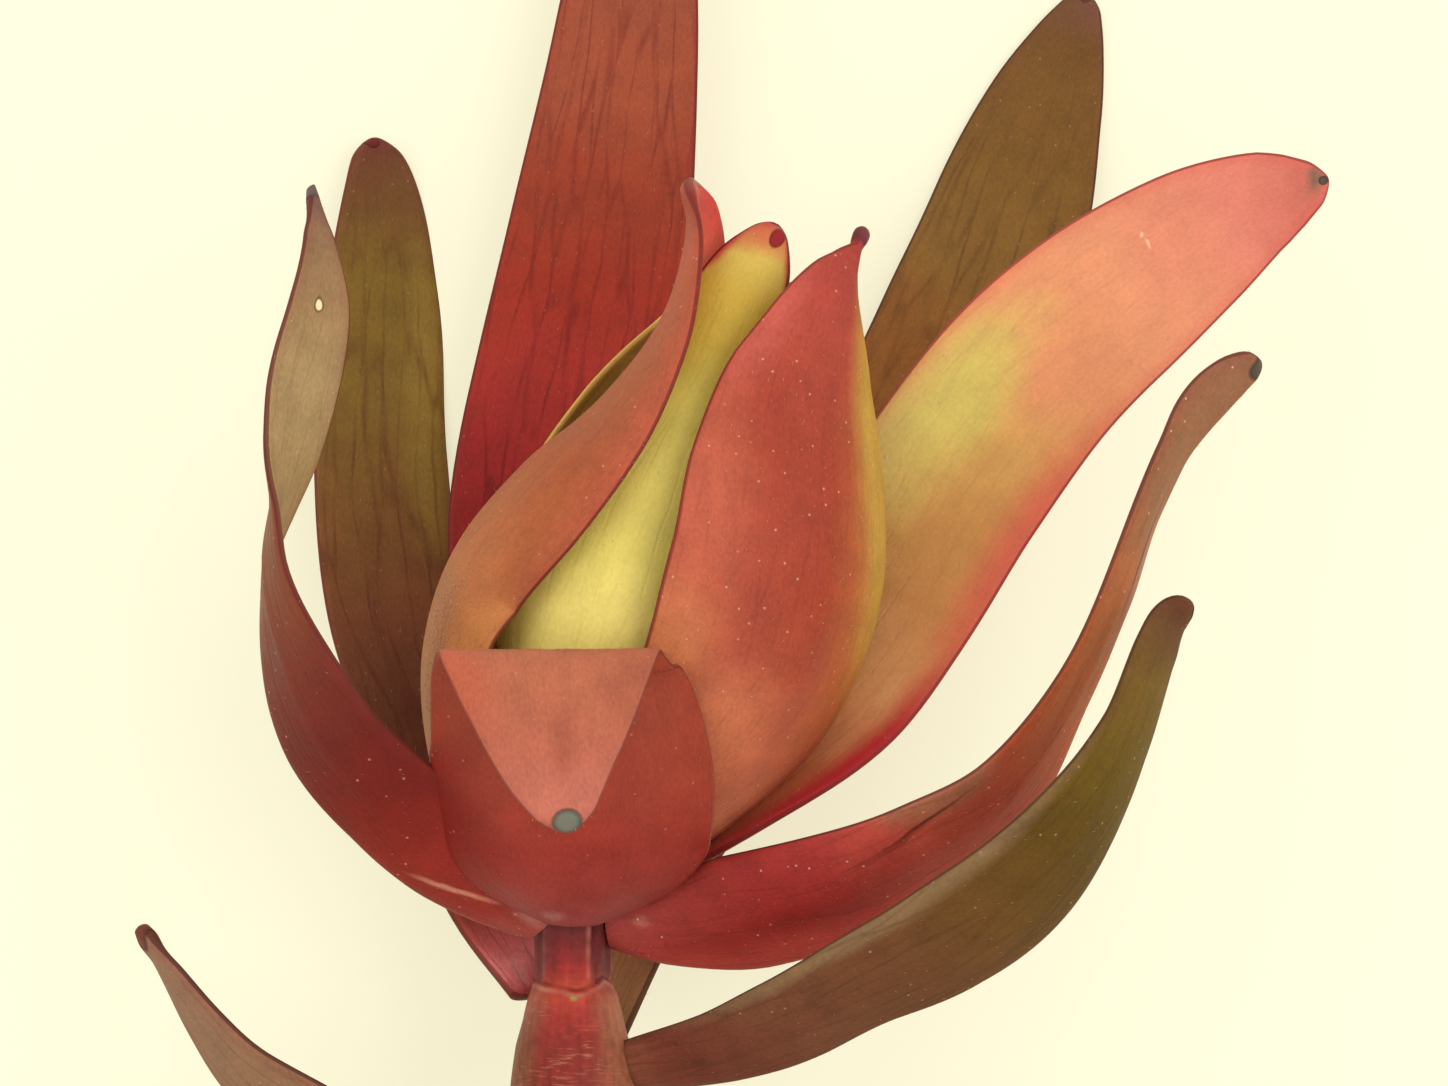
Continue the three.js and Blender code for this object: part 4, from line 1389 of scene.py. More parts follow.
        # Painted shade in the furrow over the rim
        furrow = bell(off - 0.36, 0.13) * uneven
        bark.height -= 0.1 * furrow
        bark.ridge += 0.8 * bell(off, 0.17) * uneven - 0.8 * furrow
        eye = self.blob(y, azimuth, (JOINT_Y - 0.45, 3.0), (0.42, 0.34))
        bark.height += 0.2 * eye
        bark.scar = np.maximum(bark.scar, eye)
        trace_at = (JOINT_Y + 0.62, 44.0)
        trace = self.blob(y, azimuth, trace_at, (0.5, 0.24))
        bark.height += 0.06 * trace
        bark.ridge += -1.2 * trace + 1.4 * self.blob(y, azimuth, trace_at, (0.3, 0.12))

    def relief(self, y: np.ndarray, azimuth: np.ndarray) -> Bark:
        """Give what stands out of the round bark.

        Args:
            y: Places along the stem.
            azimuth: Directions round it, in degrees.

        Returns:
            The height, the scars and the crests at each place.
        """
        bark = Bark(*(np.zeros(np.broadcast(y, azimuth).shape) for _ in range(3)))
        self.grow_scars(bark, y, azimuth)
        self.flute_neck(bark, y, azimuth)
        self.rim_joint(bark, y, azimuth)
        bark.ridge = np.clip(bark.ridge, -1, 1)
        return bark

    def surface(self, y: np.ndarray, azimuth: np.ndarray, proud: np.ndarray) -> np.ndarray:
        """Give points on the stem's side, in the flower's frame.

        Args:
            y: Places along the stem.
            azimuth: Directions round it, in degrees.
            proud: How far the points stand off the bare radius, in mm.

        Returns:
            The points, with one more axis than what was given.
        """
        out = outward(azimuth) * (self.radius(y) + proud)[..., None]
        return stem_centre(y.ravel()).reshape(*y.shape, 3) + out

    def cut_places(self, azimuth: np.ndarray) -> np.ndarray:
        """Find where the slanting cut meets the bark.

        Args:
            azimuth: Directions round the stem, in degrees.

        Returns:
            The place along Y for each.
        """
        slant = np.radians(CUT_SLANT)
        inward = unit(np.array([0.1, np.cos(slant), -np.sin(slant)]))
        middle = stem_centre(CUT_Y)[0]
        y = np.full(azimuth.shape, CUT_Y)
        for _ in range(8):
            off = (self.surface(y, azimuth, np.zeros_like(y)) - middle) @ inward
            y = y - off / inward[1]
        return y

    def build(self) -> bpy.types.Object:
        """Make the stem's mesh and dress it.

        Returns:
            The stem.
        """
        azimuth = -360.0 * np.arange(self.sides) / self.sides
        start = self.cut_places(azimuth)
        low = np.linspace(0, 1, int((self.sheared_to - CUT_Y) / self.step))[:-1, None]
        top = self.rings[-1][0]
        crown = self.bark.crown_mm
        high = np.concatenate(
            [
                np.arange(self.sheared_to, crown[0], self.step),
                np.arange(crown[0], crown[1], self.step / 4),
                np.arange(crown[1], top + self.step / 2, self.step),
            ]
        )
        ys = np.concatenate(
            [start + (self.sheared_to - start) * low, np.repeat(high[:, None], self.sides, 1)]
        )
        angles = np.tile(azimuth, (len(ys), 1))
        bark = self.relief(ys, angles)
        side = self.surface(ys, angles, bark.height)
        cut_middle = stem_centre(CUT_Y)[0]
        shares, sunk = np.array(self.cut_rings, float).T
        cap = cut_middle + (side[0] - cut_middle) * shares[:, None, None]
        cap[..., 1] += sunk[:, None]
        loops = np.concatenate([cap, side])
        rows = len(loops)
        points = np.concatenate(
            [loops.reshape(-1, 3), [cut_middle + [0, 0.2, 0]], stem_centre(top + 0.3)]
        )
        faces = tube_faces(rows, self.sides)
        on_cut = np.array([max(face) < (len(shares) + 1) * self.sides for face in faces])
        on_cut[-2 * self.sides :: 2] = True

        radial = np.concatenate([shares, np.ones(len(side))])
        round_at = np.stack(
            [
                np.tile(np.sin(np.radians(azimuth)), (rows, 1)),
                np.concatenate([np.full(cap.shape[:2], CUT_Y), ys]),
                np.tile(np.cos(np.radians(azimuth)), (rows, 1)),
            ],
            axis=-1,
        )
        bare = np.zeros(cap.shape[:2])
        relief = np.stack(
            [
                np.repeat(radial[:, None], self.sides, 1),
                np.concatenate([bare, bark.scar]),
                np.concatenate([bare, bark.ridge]),
            ],
            axis=-1,
        )
        growth = np.stack(
            [np.cos(np.radians(angles)), np.zeros_like(ys), -np.sin(np.radians(angles))], axis=-1
        )
        growth *= (1 - smooth_step(*self.dots_end, ys))[..., None]
        growth = np.concatenate([np.zeros_like(cap), growth])
        ends_round = np.array([[0, CUT_Y, 0], [0, top, 0]])
        ends_growth = np.zeros((2, 3))
        return make_piece(
            "flower_stem",
            lay_down(points),
            faces,
            [self.bark.build(CUT_Y - 8, top), self.wood.build()],
            {
                "stem_round": np.concatenate([round_at.reshape(-1, 3), ends_round]),
                "stem_relief": np.concatenate([relief.reshape(-1, 3), np.zeros((2, 3))]),
                "growth": turn_down(np.concatenate([growth.reshape(-1, 3), ends_growth])),
            },
            on_cut,
        )


@dataclass
class FlowerCone:
    """The cone that the bracts close round: a fleshy core set with small florets.

    The florets stand in spirals, each turned 137.5 degrees from the last, and point up and out.
    """

    foot: tuple[float, float, float] = (0.3, 8.5, 0.0)
    axis: tuple[float, float, float] = (0.2, 1.0, 0.0)
    length: float = 16.0
    rings: Stops = ((0, 1.6), (0.12, 3), (0.35, 4.7), (0.6, 4.8), (0.85, 3.1), (1, 1.1))
    florets: int = 130
    spiral: float = 137.508  # degrees from one floret to the next
    core_rows: int = 18
    core_sides: int = 24
    # Soft green flesh under florets that are yellow-green with a browner end
    flesh: GrainFinish = GrainFinish("cone_flesh_green", "8f8a48", "a39b50", "b0a458")
    scales: GrainFinish = GrainFinish("floret_scales_yellow_green", "a2903c", "cbb95e", "b0804a")

    def spots(self, share: np.ndarray, azimuth: np.ndarray, proud: float) -> np.ndarray:
        """Give points on the cone, in the flower's frame.

        Args:
            share: Places along it, as shares of its length.
            azimuth: Directions round it, in degrees.
            proud: How far the points stand off the core, in mm.

        Returns:
            The points.
        """
        lean = unit(np.array(self.axis))
        beside = unit(np.cross(lean, [0.0, 0.0, 1.0]))
        front = np.cross(beside, lean)
        a = np.radians(azimuth)[..., None]
        out = np.sin(a) * beside + np.cos(a) * front
        radius = (0.75 * Profile(self.rings).at(share) + proud)[..., None]
        return np.array(self.foot) + lean * (share * self.length)[..., None] + out * radius

    def core(self) -> bpy.types.Object:
        """Make the core, closed at both ends.

        Returns:
            The core.
        """
        share = np.linspace(0, 1, self.core_rows)[:, None]
        azimuth = -360.0 * np.arange(self.core_sides) / self.core_sides
        loops = self.spots(*np.broadcast_arrays(share, azimuth), 0.0)
        ends = np.stack([loops[0].mean(0), loops[-1].mean(0) + unit(np.array(self.axis)) * 0.8])
        points = lay_down(np.concatenate([loops.reshape(-1, 3), ends]))
        faces = tube_faces(self.core_rows, self.core_sides)
        return make_piece("flower_cone_core", points, faces, [self.flesh.build()])

    def build(self) -> list[bpy.types.Object]:
        """Make the core and its florets.

        Returns:
            The two pieces.
        """
        share = (np.arange(self.florets) + 0.5) / self.florets
        azimuth = self.spiral * np.arange(self.florets)
        at = self.spots(share, azimuth, -0.4)
        out = unit(self.spots(share, azimuth, 1.0) - self.spots(share, azimuth, 0.0))
        rise = (0.35 + 1.9 * share**2)[:, None]
        ways = unit(out + unit(np.array(self.axis)) * (0.7 + rise))
        points = make_piece("floret_places", lay_down(at), [], [], {"growth": turn_down(ways)})
        rule = Strewing(
            "cone_florets", Grain.FLORET, self.scales,
            length=3.4, width=1.5, thick=1.25, smallest=0.85, seed=5,
        )
        florets = rule.strew(points)
        bpy.data.objects.remove(points)
        return [self.core(), florets]


@dataclass(frozen=True)
class StemLeafPlace:
    """Where a leaf of the stem grows, the way that it faces, and how far its tip goes."""

    y: float
    azimuth: float
    reach: float
    rise: float

    def midrib(self) -> tuple[Points, float]:
        """Draw the leaf's line: it leaves its node steeply, bends out and lies on the surface.

        Returns:
            The points of the line, and the turn of the blade's outer part.
        """
        t = np.linspace(0, 1, 8)
        points = stem_centre(self.y + self.rise * t**1.35)
        points[:, 0] *= 1 - t
        out = STEM_RADIUS - 0.6 + self.reach * (1 - (1 - t) ** 1.5)
        points += outward(self.azimuth) * out[:, None]
        height = height_above(points)
        held = SURFACE_CLEARANCE + np.log1p(np.exp((height - SURFACE_CLEARANCE) / 2)) * 2
        points += LYING_UP * (held - height)[:, None]
        pressed = min(1.0, float(np.max((held - height) / 8)))
        flat = -180.0 if self.azimuth > 0 else 180.0
        turn = -self.azimuth + (flat + self.azimuth) * pressed
        return tuple(map(tuple, points.tolist())), turn


STEM_LEAVES = (
    StemLeafPlace(-34, 118, 50, 15),
    StemLeafPlace(-46, 8, 25, 34),
    StemLeafPlace(-57, -118, 50, 38),
    StemLeafPlace(-68, 82, 42, 50),
    StemLeafPlace(-79, -52, 36, 56),
    StemLeafPlace(-91, 150, 36, 60),
    StemLeafPlace(-103, 30, 27, 66),
)
SCARS = tuple((y, 168 + 137.5 * i) for i, y in enumerate((-115, -127, -138, -150, -161, -172)))


# Dark red rind; the flap that hangs out shows the salmon inner face
FRONT_BRACT = LeafFinish(
    name="front_bract_dark_red_with_salmon_inner_face",
    lower=((0.0, "944440"), (0.12, "923630"), (0.25, "912f26"), (0.4, "963a2a"), (0.55, "943c28"),
        (1.0, "8a3826")),
    upper=((0.0, "c9a25c"), (0.4, "b0664a"), (0.64, "ad6348"), (0.74, "ab6045"), (0.86, "aa5c47"),
        (0.95, "b26453"), (1.0, "a85a48")),
    washes=(
        Wash("741008", -0.95, 0.33, 0.6, 0.3, 0.95, Face.LOWER),
        Wash("b4573f", -0.9, 0.72, 0.5, 0.16, 0.7, Face.UPPER),
        Wash("98503c", 0.85, 0.74, 0.5, 0.1, 0.6, Face.UPPER),
        Wash("9a4c3a", 0.1, 0.84, 0.3, 0.09, 0.5, Face.UPPER),
        Wash("a8776c", -0.32, 0.04, 0.3, 0.03, 0.5, Face.LOWER),
        # Painted highlight: a tan-gold line along the lower margin, where the edge reflects the
        # light
        Wash("ac8048", -1.04, 0.09, 0.13, 0.1, 0.9, Face.LOWER, 0.3),
    ),
    margin="5c1c18",
    vein_strength=0.08,
    flank_strength=0.1,
    margin_mm=0.16,
    margin_strength=0.6,
    gland=Gland("6a695c", "2c241e", 1.05, 0.9, 0.75),
    speck_strength=0.3,
)
# Orange-brown rind with an ochre patch on one side, redder near the tip
LEFT_BRACT = LeafFinish(
    name="left_bract_orange_brown_rind",
    lower=((0.0, "9a5a2c"), (0.3, "9c5e2e"), (0.45, "ac653a"), (0.62, "a0502f"), (0.75, "9c5132"),
        (0.9, "aa5039"), (1.0, "9c4434")),
    upper=((0.0, "cbb45c"), (0.6, "c9a052"), (0.86, "cc6a3c"), (0.92, "d05a44"), (1.0, "c03c38")),
    washes=(
        Wash("c27c46", 1.0, 0.39, 0.6, 0.18, 0.9, Face.LOWER),
        Wash("b86e44", 0.5, 0.48, 0.4, 0.1, 0.7, Face.LOWER),
        Wash("a87048", 0.25, 0.36, 0.4, 0.14, 0.6, Face.LOWER),
        Wash("ae5138", 0.95, 0.72, 0.35, 0.25, 0.7, Face.LOWER),
    ),
    margin="6a1a1a",
    vein_strength=0.1,
    gland=Gland("77705f", "4e3e34", 0.6, 0.8, shine=0.5),
    sheen=0.12,
)
# Red rind dotted with pale tufts of hair, and yellow along one side
RIGHT_BRACT = LeafFinish(
    name="right_bract_red_rind_with_yellow_side",
    lower=((0.0, "a65e44"), (0.2, "b26044"), (0.34, "a64e38"), (0.48, "9b3e2a"), (0.66, "963a28"),
        (0.83, "a04031"), (1.0, "9e3a36")),
    upper=((0.0, "cbb45c"), (0.6, "c9a052"), (0.85, "cb5c44"), (1.0, "ca4c42")),
    washes=(
        Wash("b0602f", 0.45, 0.52, 0.5, 0.36, 0.8, Face.LOWER),
        Wash("b89240", 1.0, 0.62, 0.82, 0.38, 1.0, Face.LOWER, 0.5),
        Wash("c4764c", -0.9, 0.38, 0.5, 0.16, 0.95, Face.LOWER),
        Wash("b85c44", -0.9, 0.6, 0.55, 0.26, 0.8, Face.LOWER),
        Wash("c4704c", -0.3, 0.28, 0.55, 0.12, 0.8, Face.LOWER),
        Wash("be584c", -0.9, 0.84, 0.6, 0.14, 0.8, Face.LOWER),
    ),
    margin="7a2420",
    margin_mm=0.4,
    vein_strength=0.12,
    speck_strength=0.7,
    speck_mm=0.9,
    gland=Gland("703034", "4c2426", 0.9, 1.7, shine=0.5),
)
# Clear yellow-green rind, hardly veined, that ends in a crimson rim; painted shade on one margin
INNER_BRACT = LeafFinish(
    name="inner_bract_yellow_green_rind",
    lower=((0.0, "b4a448"), (0.3, "eada76"), (0.38, "ead978"), (0.45, "d8c866"), (0.52, "d0be60"),
        (0.62, "dac866"), (0.7, "d6c45c"), (0.78, "c6a843"), (0.86, "c4a440"), (0.93, "caae52"),
        (0.97, "c26a44"), (1.0, "b04040")),
    upper=((0.0, "cdbd66"), (1.0, "c9a052")),
    washes=(
        # Painted shadow: a dark olive band along the margin that lies by the left bract
        Wash("7a6a28", -0.95, 0.68, 0.3, 0.2, 0.9, Face.LOWER),
        Wash("b0343a", 0.0, 1.02, 3.0, 0.05, 0.95, Face.LOWER, 0.3),
        Wash("b83c3c", -1.08, 0.95, 0.5, 0.075, 1.0, Face.LOWER, 0.4),
        Wash("b83c3c", 1.08, 0.95, 0.4, 0.09, 1.0, Face.LOWER, 0.4),
    ),
    margin="701c1c",
    margin_mm=0.45,
    margin_strength=1.0,
    flank="b84a40",
    flank_mm=0.9,
    flank_strength=0.35,
    vein="a8903e",
    vein_strength=0.1,
    speck="f0e0a0",
    speck_strength=0.15,
    mottle=0.1,
    gland=Gland("8e2026", "6a161c", 0.5, 0.85, 1.3, 0.6, 1.0),
)
# Salmon inner face with a yellow-green heart and a crimson foot, smoother than the rest
OPEN_BRACT = LeafFinish(
    name="open_bract_salmon_inner_face_with_yellow_heart",
    lower=((0.0, "9a3a2c"), (0.4, "a8452f"), (0.7, "b0503a"), (1.0, "b85a48")),
    upper=((0.0, "9a2e2c"), (0.2, "b4603f"), (0.3, "d09664"), (0.4, "bd824c"), (0.47, "ba8446"),
        (0.57, "c99653"), (0.68, "d78c60"), (0.78, "d58a65"), (0.9, "d17966"), (1.0, "be6456")),
    washes=(
        Wash("c6b05a", 0.42, 0.585, 0.7, 0.15, 1.0, Face.UPPER, 0.25),
        Wash("b4a258", 0.9, 0.45, 0.5, 0.16, 0.7, Face.UPPER),
        Wash("cc5c4a", -1.0, 0.5, 0.55, 0.24, 0.9, Face.UPPER),
        Wash("b02c30", -1.05, 0.22, 0.42, 0.2, 1.0, Face.UPPER, 0.3),
        Wash("6b5a48", 0.25, 1.0, 0.9, 0.02, 0.85, Face.UPPER, 0.15),
        Wash("f4c8a8", 0.44, 0.825, 0.05, 0.004, 0.55, Face.UPPER, 0.3, 0.03),
        Wash("f4c8a8", 0.3, 0.828, 0.1, 0.003, 0.5, Face.UPPER, 0.3, -0.02),
    ),
    mottle=0.12,
    margin="8c2c2c",
    flank="c8504a",
    flank_strength=0.35,
    vein="b06848",
    vein_strength=0.15,
    speck_strength=0.2,
    gland=Gland("4e4236", "3a2e26", 0.35, 0.35, 0.4),
    roughness=0.46,
)
# Red rind with a pale yellow edge, which shows past the left bract
BACK_BRACT = LeafFinish(
    name="back_bract_red_rind_with_yellow_edge",
    lower=((0.0, "9a4a34"), (0.3, "b0583c"), (0.7, "a84a36"), (1.0, "a04038")),
    upper=((0.0, "b8a850"), (0.6, "a8923e"), (0.9, "b08a44"), (1.0, "a85a3c")),
    washes=(
        Wash("eccf70", 1.0, 0.75, 0.75, 0.5, 1.0, Face.LOWER, 0.5),
        Wash("eccf70", -1.0, 0.75, 0.75, 0.5, 1.0, Face.LOWER, 0.5),
    ),
    margin="c8a050",
    gland=Gland("8a4a38"),
    vein_strength=0.15,
)
# Wine red, brighter at its middle, with a net of darker veins
TALL_RED_LEAF = LeafFinish(
    name="tall_leaf_wine_red_with_dark_veins",
    lower=((0.0, "8a3a30"), (0.5, "93402f"), (1.0, "8a4436")),
    upper=((0.0, "7a2424"), (0.3, "8a2424"), (0.41, "9c2828"), (0.47, "a83229"), (0.55, "9c301f"),
        (0.64, "8f361f"), (0.72, "94442b"), (0.85, "904830"), (1.0, "8a4636")),
    margin="6a201c",
    vein="641414",
    vein_mm=1.9,
    vein_strength=0.5,
    speck_strength=0.15,
)
# Olive green with red-brown veins, crimson where it leaves the stem under a painted pink sheen
GREEN_LEAF = LeafFinish(
    name="leaf_olive_green_with_red_brown_veins",
    lower=((0.0, "7a3a2c"), (0.3, "77502c"), (0.7, "7d5b2e"), (1.0, "7a4a2e")),
    # The pink from 0 to 0.1, brightest near 0.03, is partly a painted sheen on the crimson foot
    upper=((0.0, "b85050"), (0.03, "dc7a78"), (0.06, "c86060"), (0.1, "ac4a3e"), (0.15, "883a2c"),
        (0.22, "6c3422"), (0.35, "653721"), (0.46, "78452a"), (0.6, "7a5528"), (0.72, "7a5f27"),
        (0.84, "765b20"), (0.93, "6a4520"), (1.0, "683024")),
    washes=(
        Wash("8c7030", -0.7, 0.7, 0.5, 0.26, 0.8, Face.UPPER),
        # Painted sheen: a pink patch on the foot
        Wash("d88888", 0.35, 0.025, 0.3, 0.025, 0.6, Face.UPPER),
    ),
    margin="6e2c24",
    margin_mm=0.14,
    flank="6a3e28",
    vein="501a14",
    vein_mm=2.0,
    vein_strength=0.45,
    gland=Gland("641a1a", "44100f", 0.75, 0.7, 0.35, 0.5, 0.8),
    speck_strength=0.2,
)
# Dark red outside and tan inside, with one pale spot that has a brown rim
LONG_LEAF = LeafFinish(
    name="long_leaf_dark_red_outside_tan_inside",
    lower=((0.0, "9a4a3f"), (0.08, "8e2e26"), (0.18, "85241a"), (0.27, "711b12"), (0.36, "651b12"),
        (0.46, "702b1c"), (0.55, "7a3a1e"), (1.0, "7a4a34")),
    upper=((0.0, "a0583c"), (0.6, "ac9468"), (0.72, "a58c60"), (0.86, "93734e"), (0.95, "876549"),
        (1.0, "6e5448")),
    washes=(
        Wash("c9846c", -0.4, 0.125, 0.1, 0.06, 0.75, Face.LOWER, 0.2, -5.2),
        Wash("c08478", 0.1, 0.03, 0.5, 0.04, 0.7, Face.LOWER),
        Wash("6e5238", 0.06, 0.85, 0.2, 0.0125, 0.8, Face.UPPER, 0.75),
        Wash("e8d6a6", 0.06, 0.85, 0.13, 0.0085, 1.0, Face.UPPER, 0.7),
    ),
    margin="5e201c",
    flank="7a3428",
    vein_strength=0.14,
    gland=Gland("66544e", "4a3e48", 0.9, 1.2),
)
# Dark olive brown with brown veins, paler where it leaves the stem
DARK_LEAF = LeafFinish(
    name="leaf_dark_olive_brown",
    lower=((0.0, "7a4a30"), (0.5, "80552f"), (1.0, "7e4e38")),
    upper=((0.0, "b8885c"), (0.12, "b0805a"), (0.3, "84562e"), (0.66, "925e29"), (0.75, "85602a"),
        (0.85, "76521f"), (0.95, "69441c"), (1.0, "684232")),
    margin="4e2a1e",
    flank="6a4028",
    vein="4a2a14",
    vein_mm=2.0,
    vein_strength=0.4,
    gland=Gland("6a4030"),
    speck_strength=0.25,
)
# Crimson outside, with painted shade in its folds, and many pale tufts of hair
SWEEPING_RED_LEAF = LeafFinish(
    name="sweeping_leaf_crimson_outside",
    lower=((0.0, "a0403a"), (0.13, "962e28"), (0.19, "9a2b27"), (0.28, "a63531"), (0.36, "c05042"),
        (0.48, "b44c34"), (0.6, "b45e30"), (0.7, "a45e34"), (0.82, "8a5a3a"), (1.0, "865a40")),
    upper=((0.0, "8a4030"), (0.5, "9a5f3c"), (1.0, "a4704f")),
    washes=(
        Wash("b8705c", -0.22, 0.045, 0.2, 0.022, 0.6, Face.LOWER),
        Wash("d04a40", 0.7, 0.22, 0.6, 0.22, 0.8, Face.LOWER),
        Wash("a0644a", -1.0, 0.43, 0.6, 0.1, 0.95, Face.LOWER, 0.35),
        # Painted shade: two dark lines that follow the fold
        Wash("4e1612", -0.6, 0.39, 0.05, 0.1, 0.75, Face.LOWER, 0.2, -2.2),
        Wash("7e281f", -0.48, 0.36, 0.05, 0.07, 0.5, Face.LOWER, 0.2, -2.2),
        Wash("a06c56", 0.8, 0.755, 0.45, 0.08, 0.8, Face.LOWER, 0.5),
        Wash("42201a", 0.4, 0.75, 0.09, 0.09, 0.85, Face.LOWER, 0.2),
    ),
    margin="5a2420",
    margin_mm=0.12,
    margin_strength=0.7,
    gland=Gland("4e4438", "362a22", 0.9, 1.3, 0.2, 0.1),
    speck="dfa090",
    speck_strength=0.8,
    speck_mm=0.9,
    vein_strength=0.2,
)
# Dull olive brown outside, with the least gloss of all leaves
SWEEPING_GREEN_LEAF = LeafFinish(
    name="sweeping_leaf_olive_brown_outside",
    lower=((0.0, "8c5640"), (0.06, "7a4030"), (0.12, "713a2b"), (0.25, "714430"), (0.42, "663f26"),
        (0.55, "60411b"), (0.65, "573f12"), (0.75, "5e4811"), (0.87, "6a5020"), (0.95, "603e24"),
        (1.0, "5a3020")),
    upper=((0.0, "7a4a30"), (0.5, "8a6a3a"), (1.0, "8a6440")),
    washes=(
        Wash("83694a", -1.0, 0.44, 0.36, 0.42, 0.7, Face.LOWER, 0.35),
        Wash("6a3a2a", 0.0, 0.2, 0.3, 0.22, 0.5, Face.LOWER),
    ),
    margin="44241a",
    margin_mm=0.1,
    margin_strength=0.6,
    gloss=0.08,
    sheen=0.0,
    flank="6a4030",
    vein="40241a",
    gland=Gland("4a2420", "3a2a22", 0.8, 0.8),
    speck="b8885c",
    speck_strength=0.6,
    vein_strength=0.3,
)
# Tan brown with a dark margin and a red-brown tip
LOW_LEAF = LeafFinish(
    name="low_leaf_tan_brown",
    lower=((0.0, "7a4a34"), (0.5, "866344"), (1.0, "8a6450")),
    upper=((0.0, "8a5a40"), (0.5, "9b7753"), (1.0, "8a5a42")),
    margin="4a2018",
    gland=Gland("6a3428", "3a2a22", 0.8, 1.5, 0.4),
)
# Olive green, flushed red at foot and tip, with brown veins
STEM_LEAF = LeafFinish(
    name="stem_leaf_olive_green_flushed_red",
    lower=((0.0, "8a4032"), (0.3, "744628"), (0.7, "6e5226"), (1.0, "6c3828")),
    upper=((0.0, "8a4a30"), (0.3, "6e5828"), (0.7, "705c26"), (1.0, "6c3c28")),
    margin="5e241e",
    flank="7a4030",
    vein="5a2a1c",
    vein_mm=1.9,
    vein_strength=0.4,
    gland=Gland("6a2c26", "3a2a22", 0.9, 0.8, shine=0.4),
    speck_strength=0.25,
)


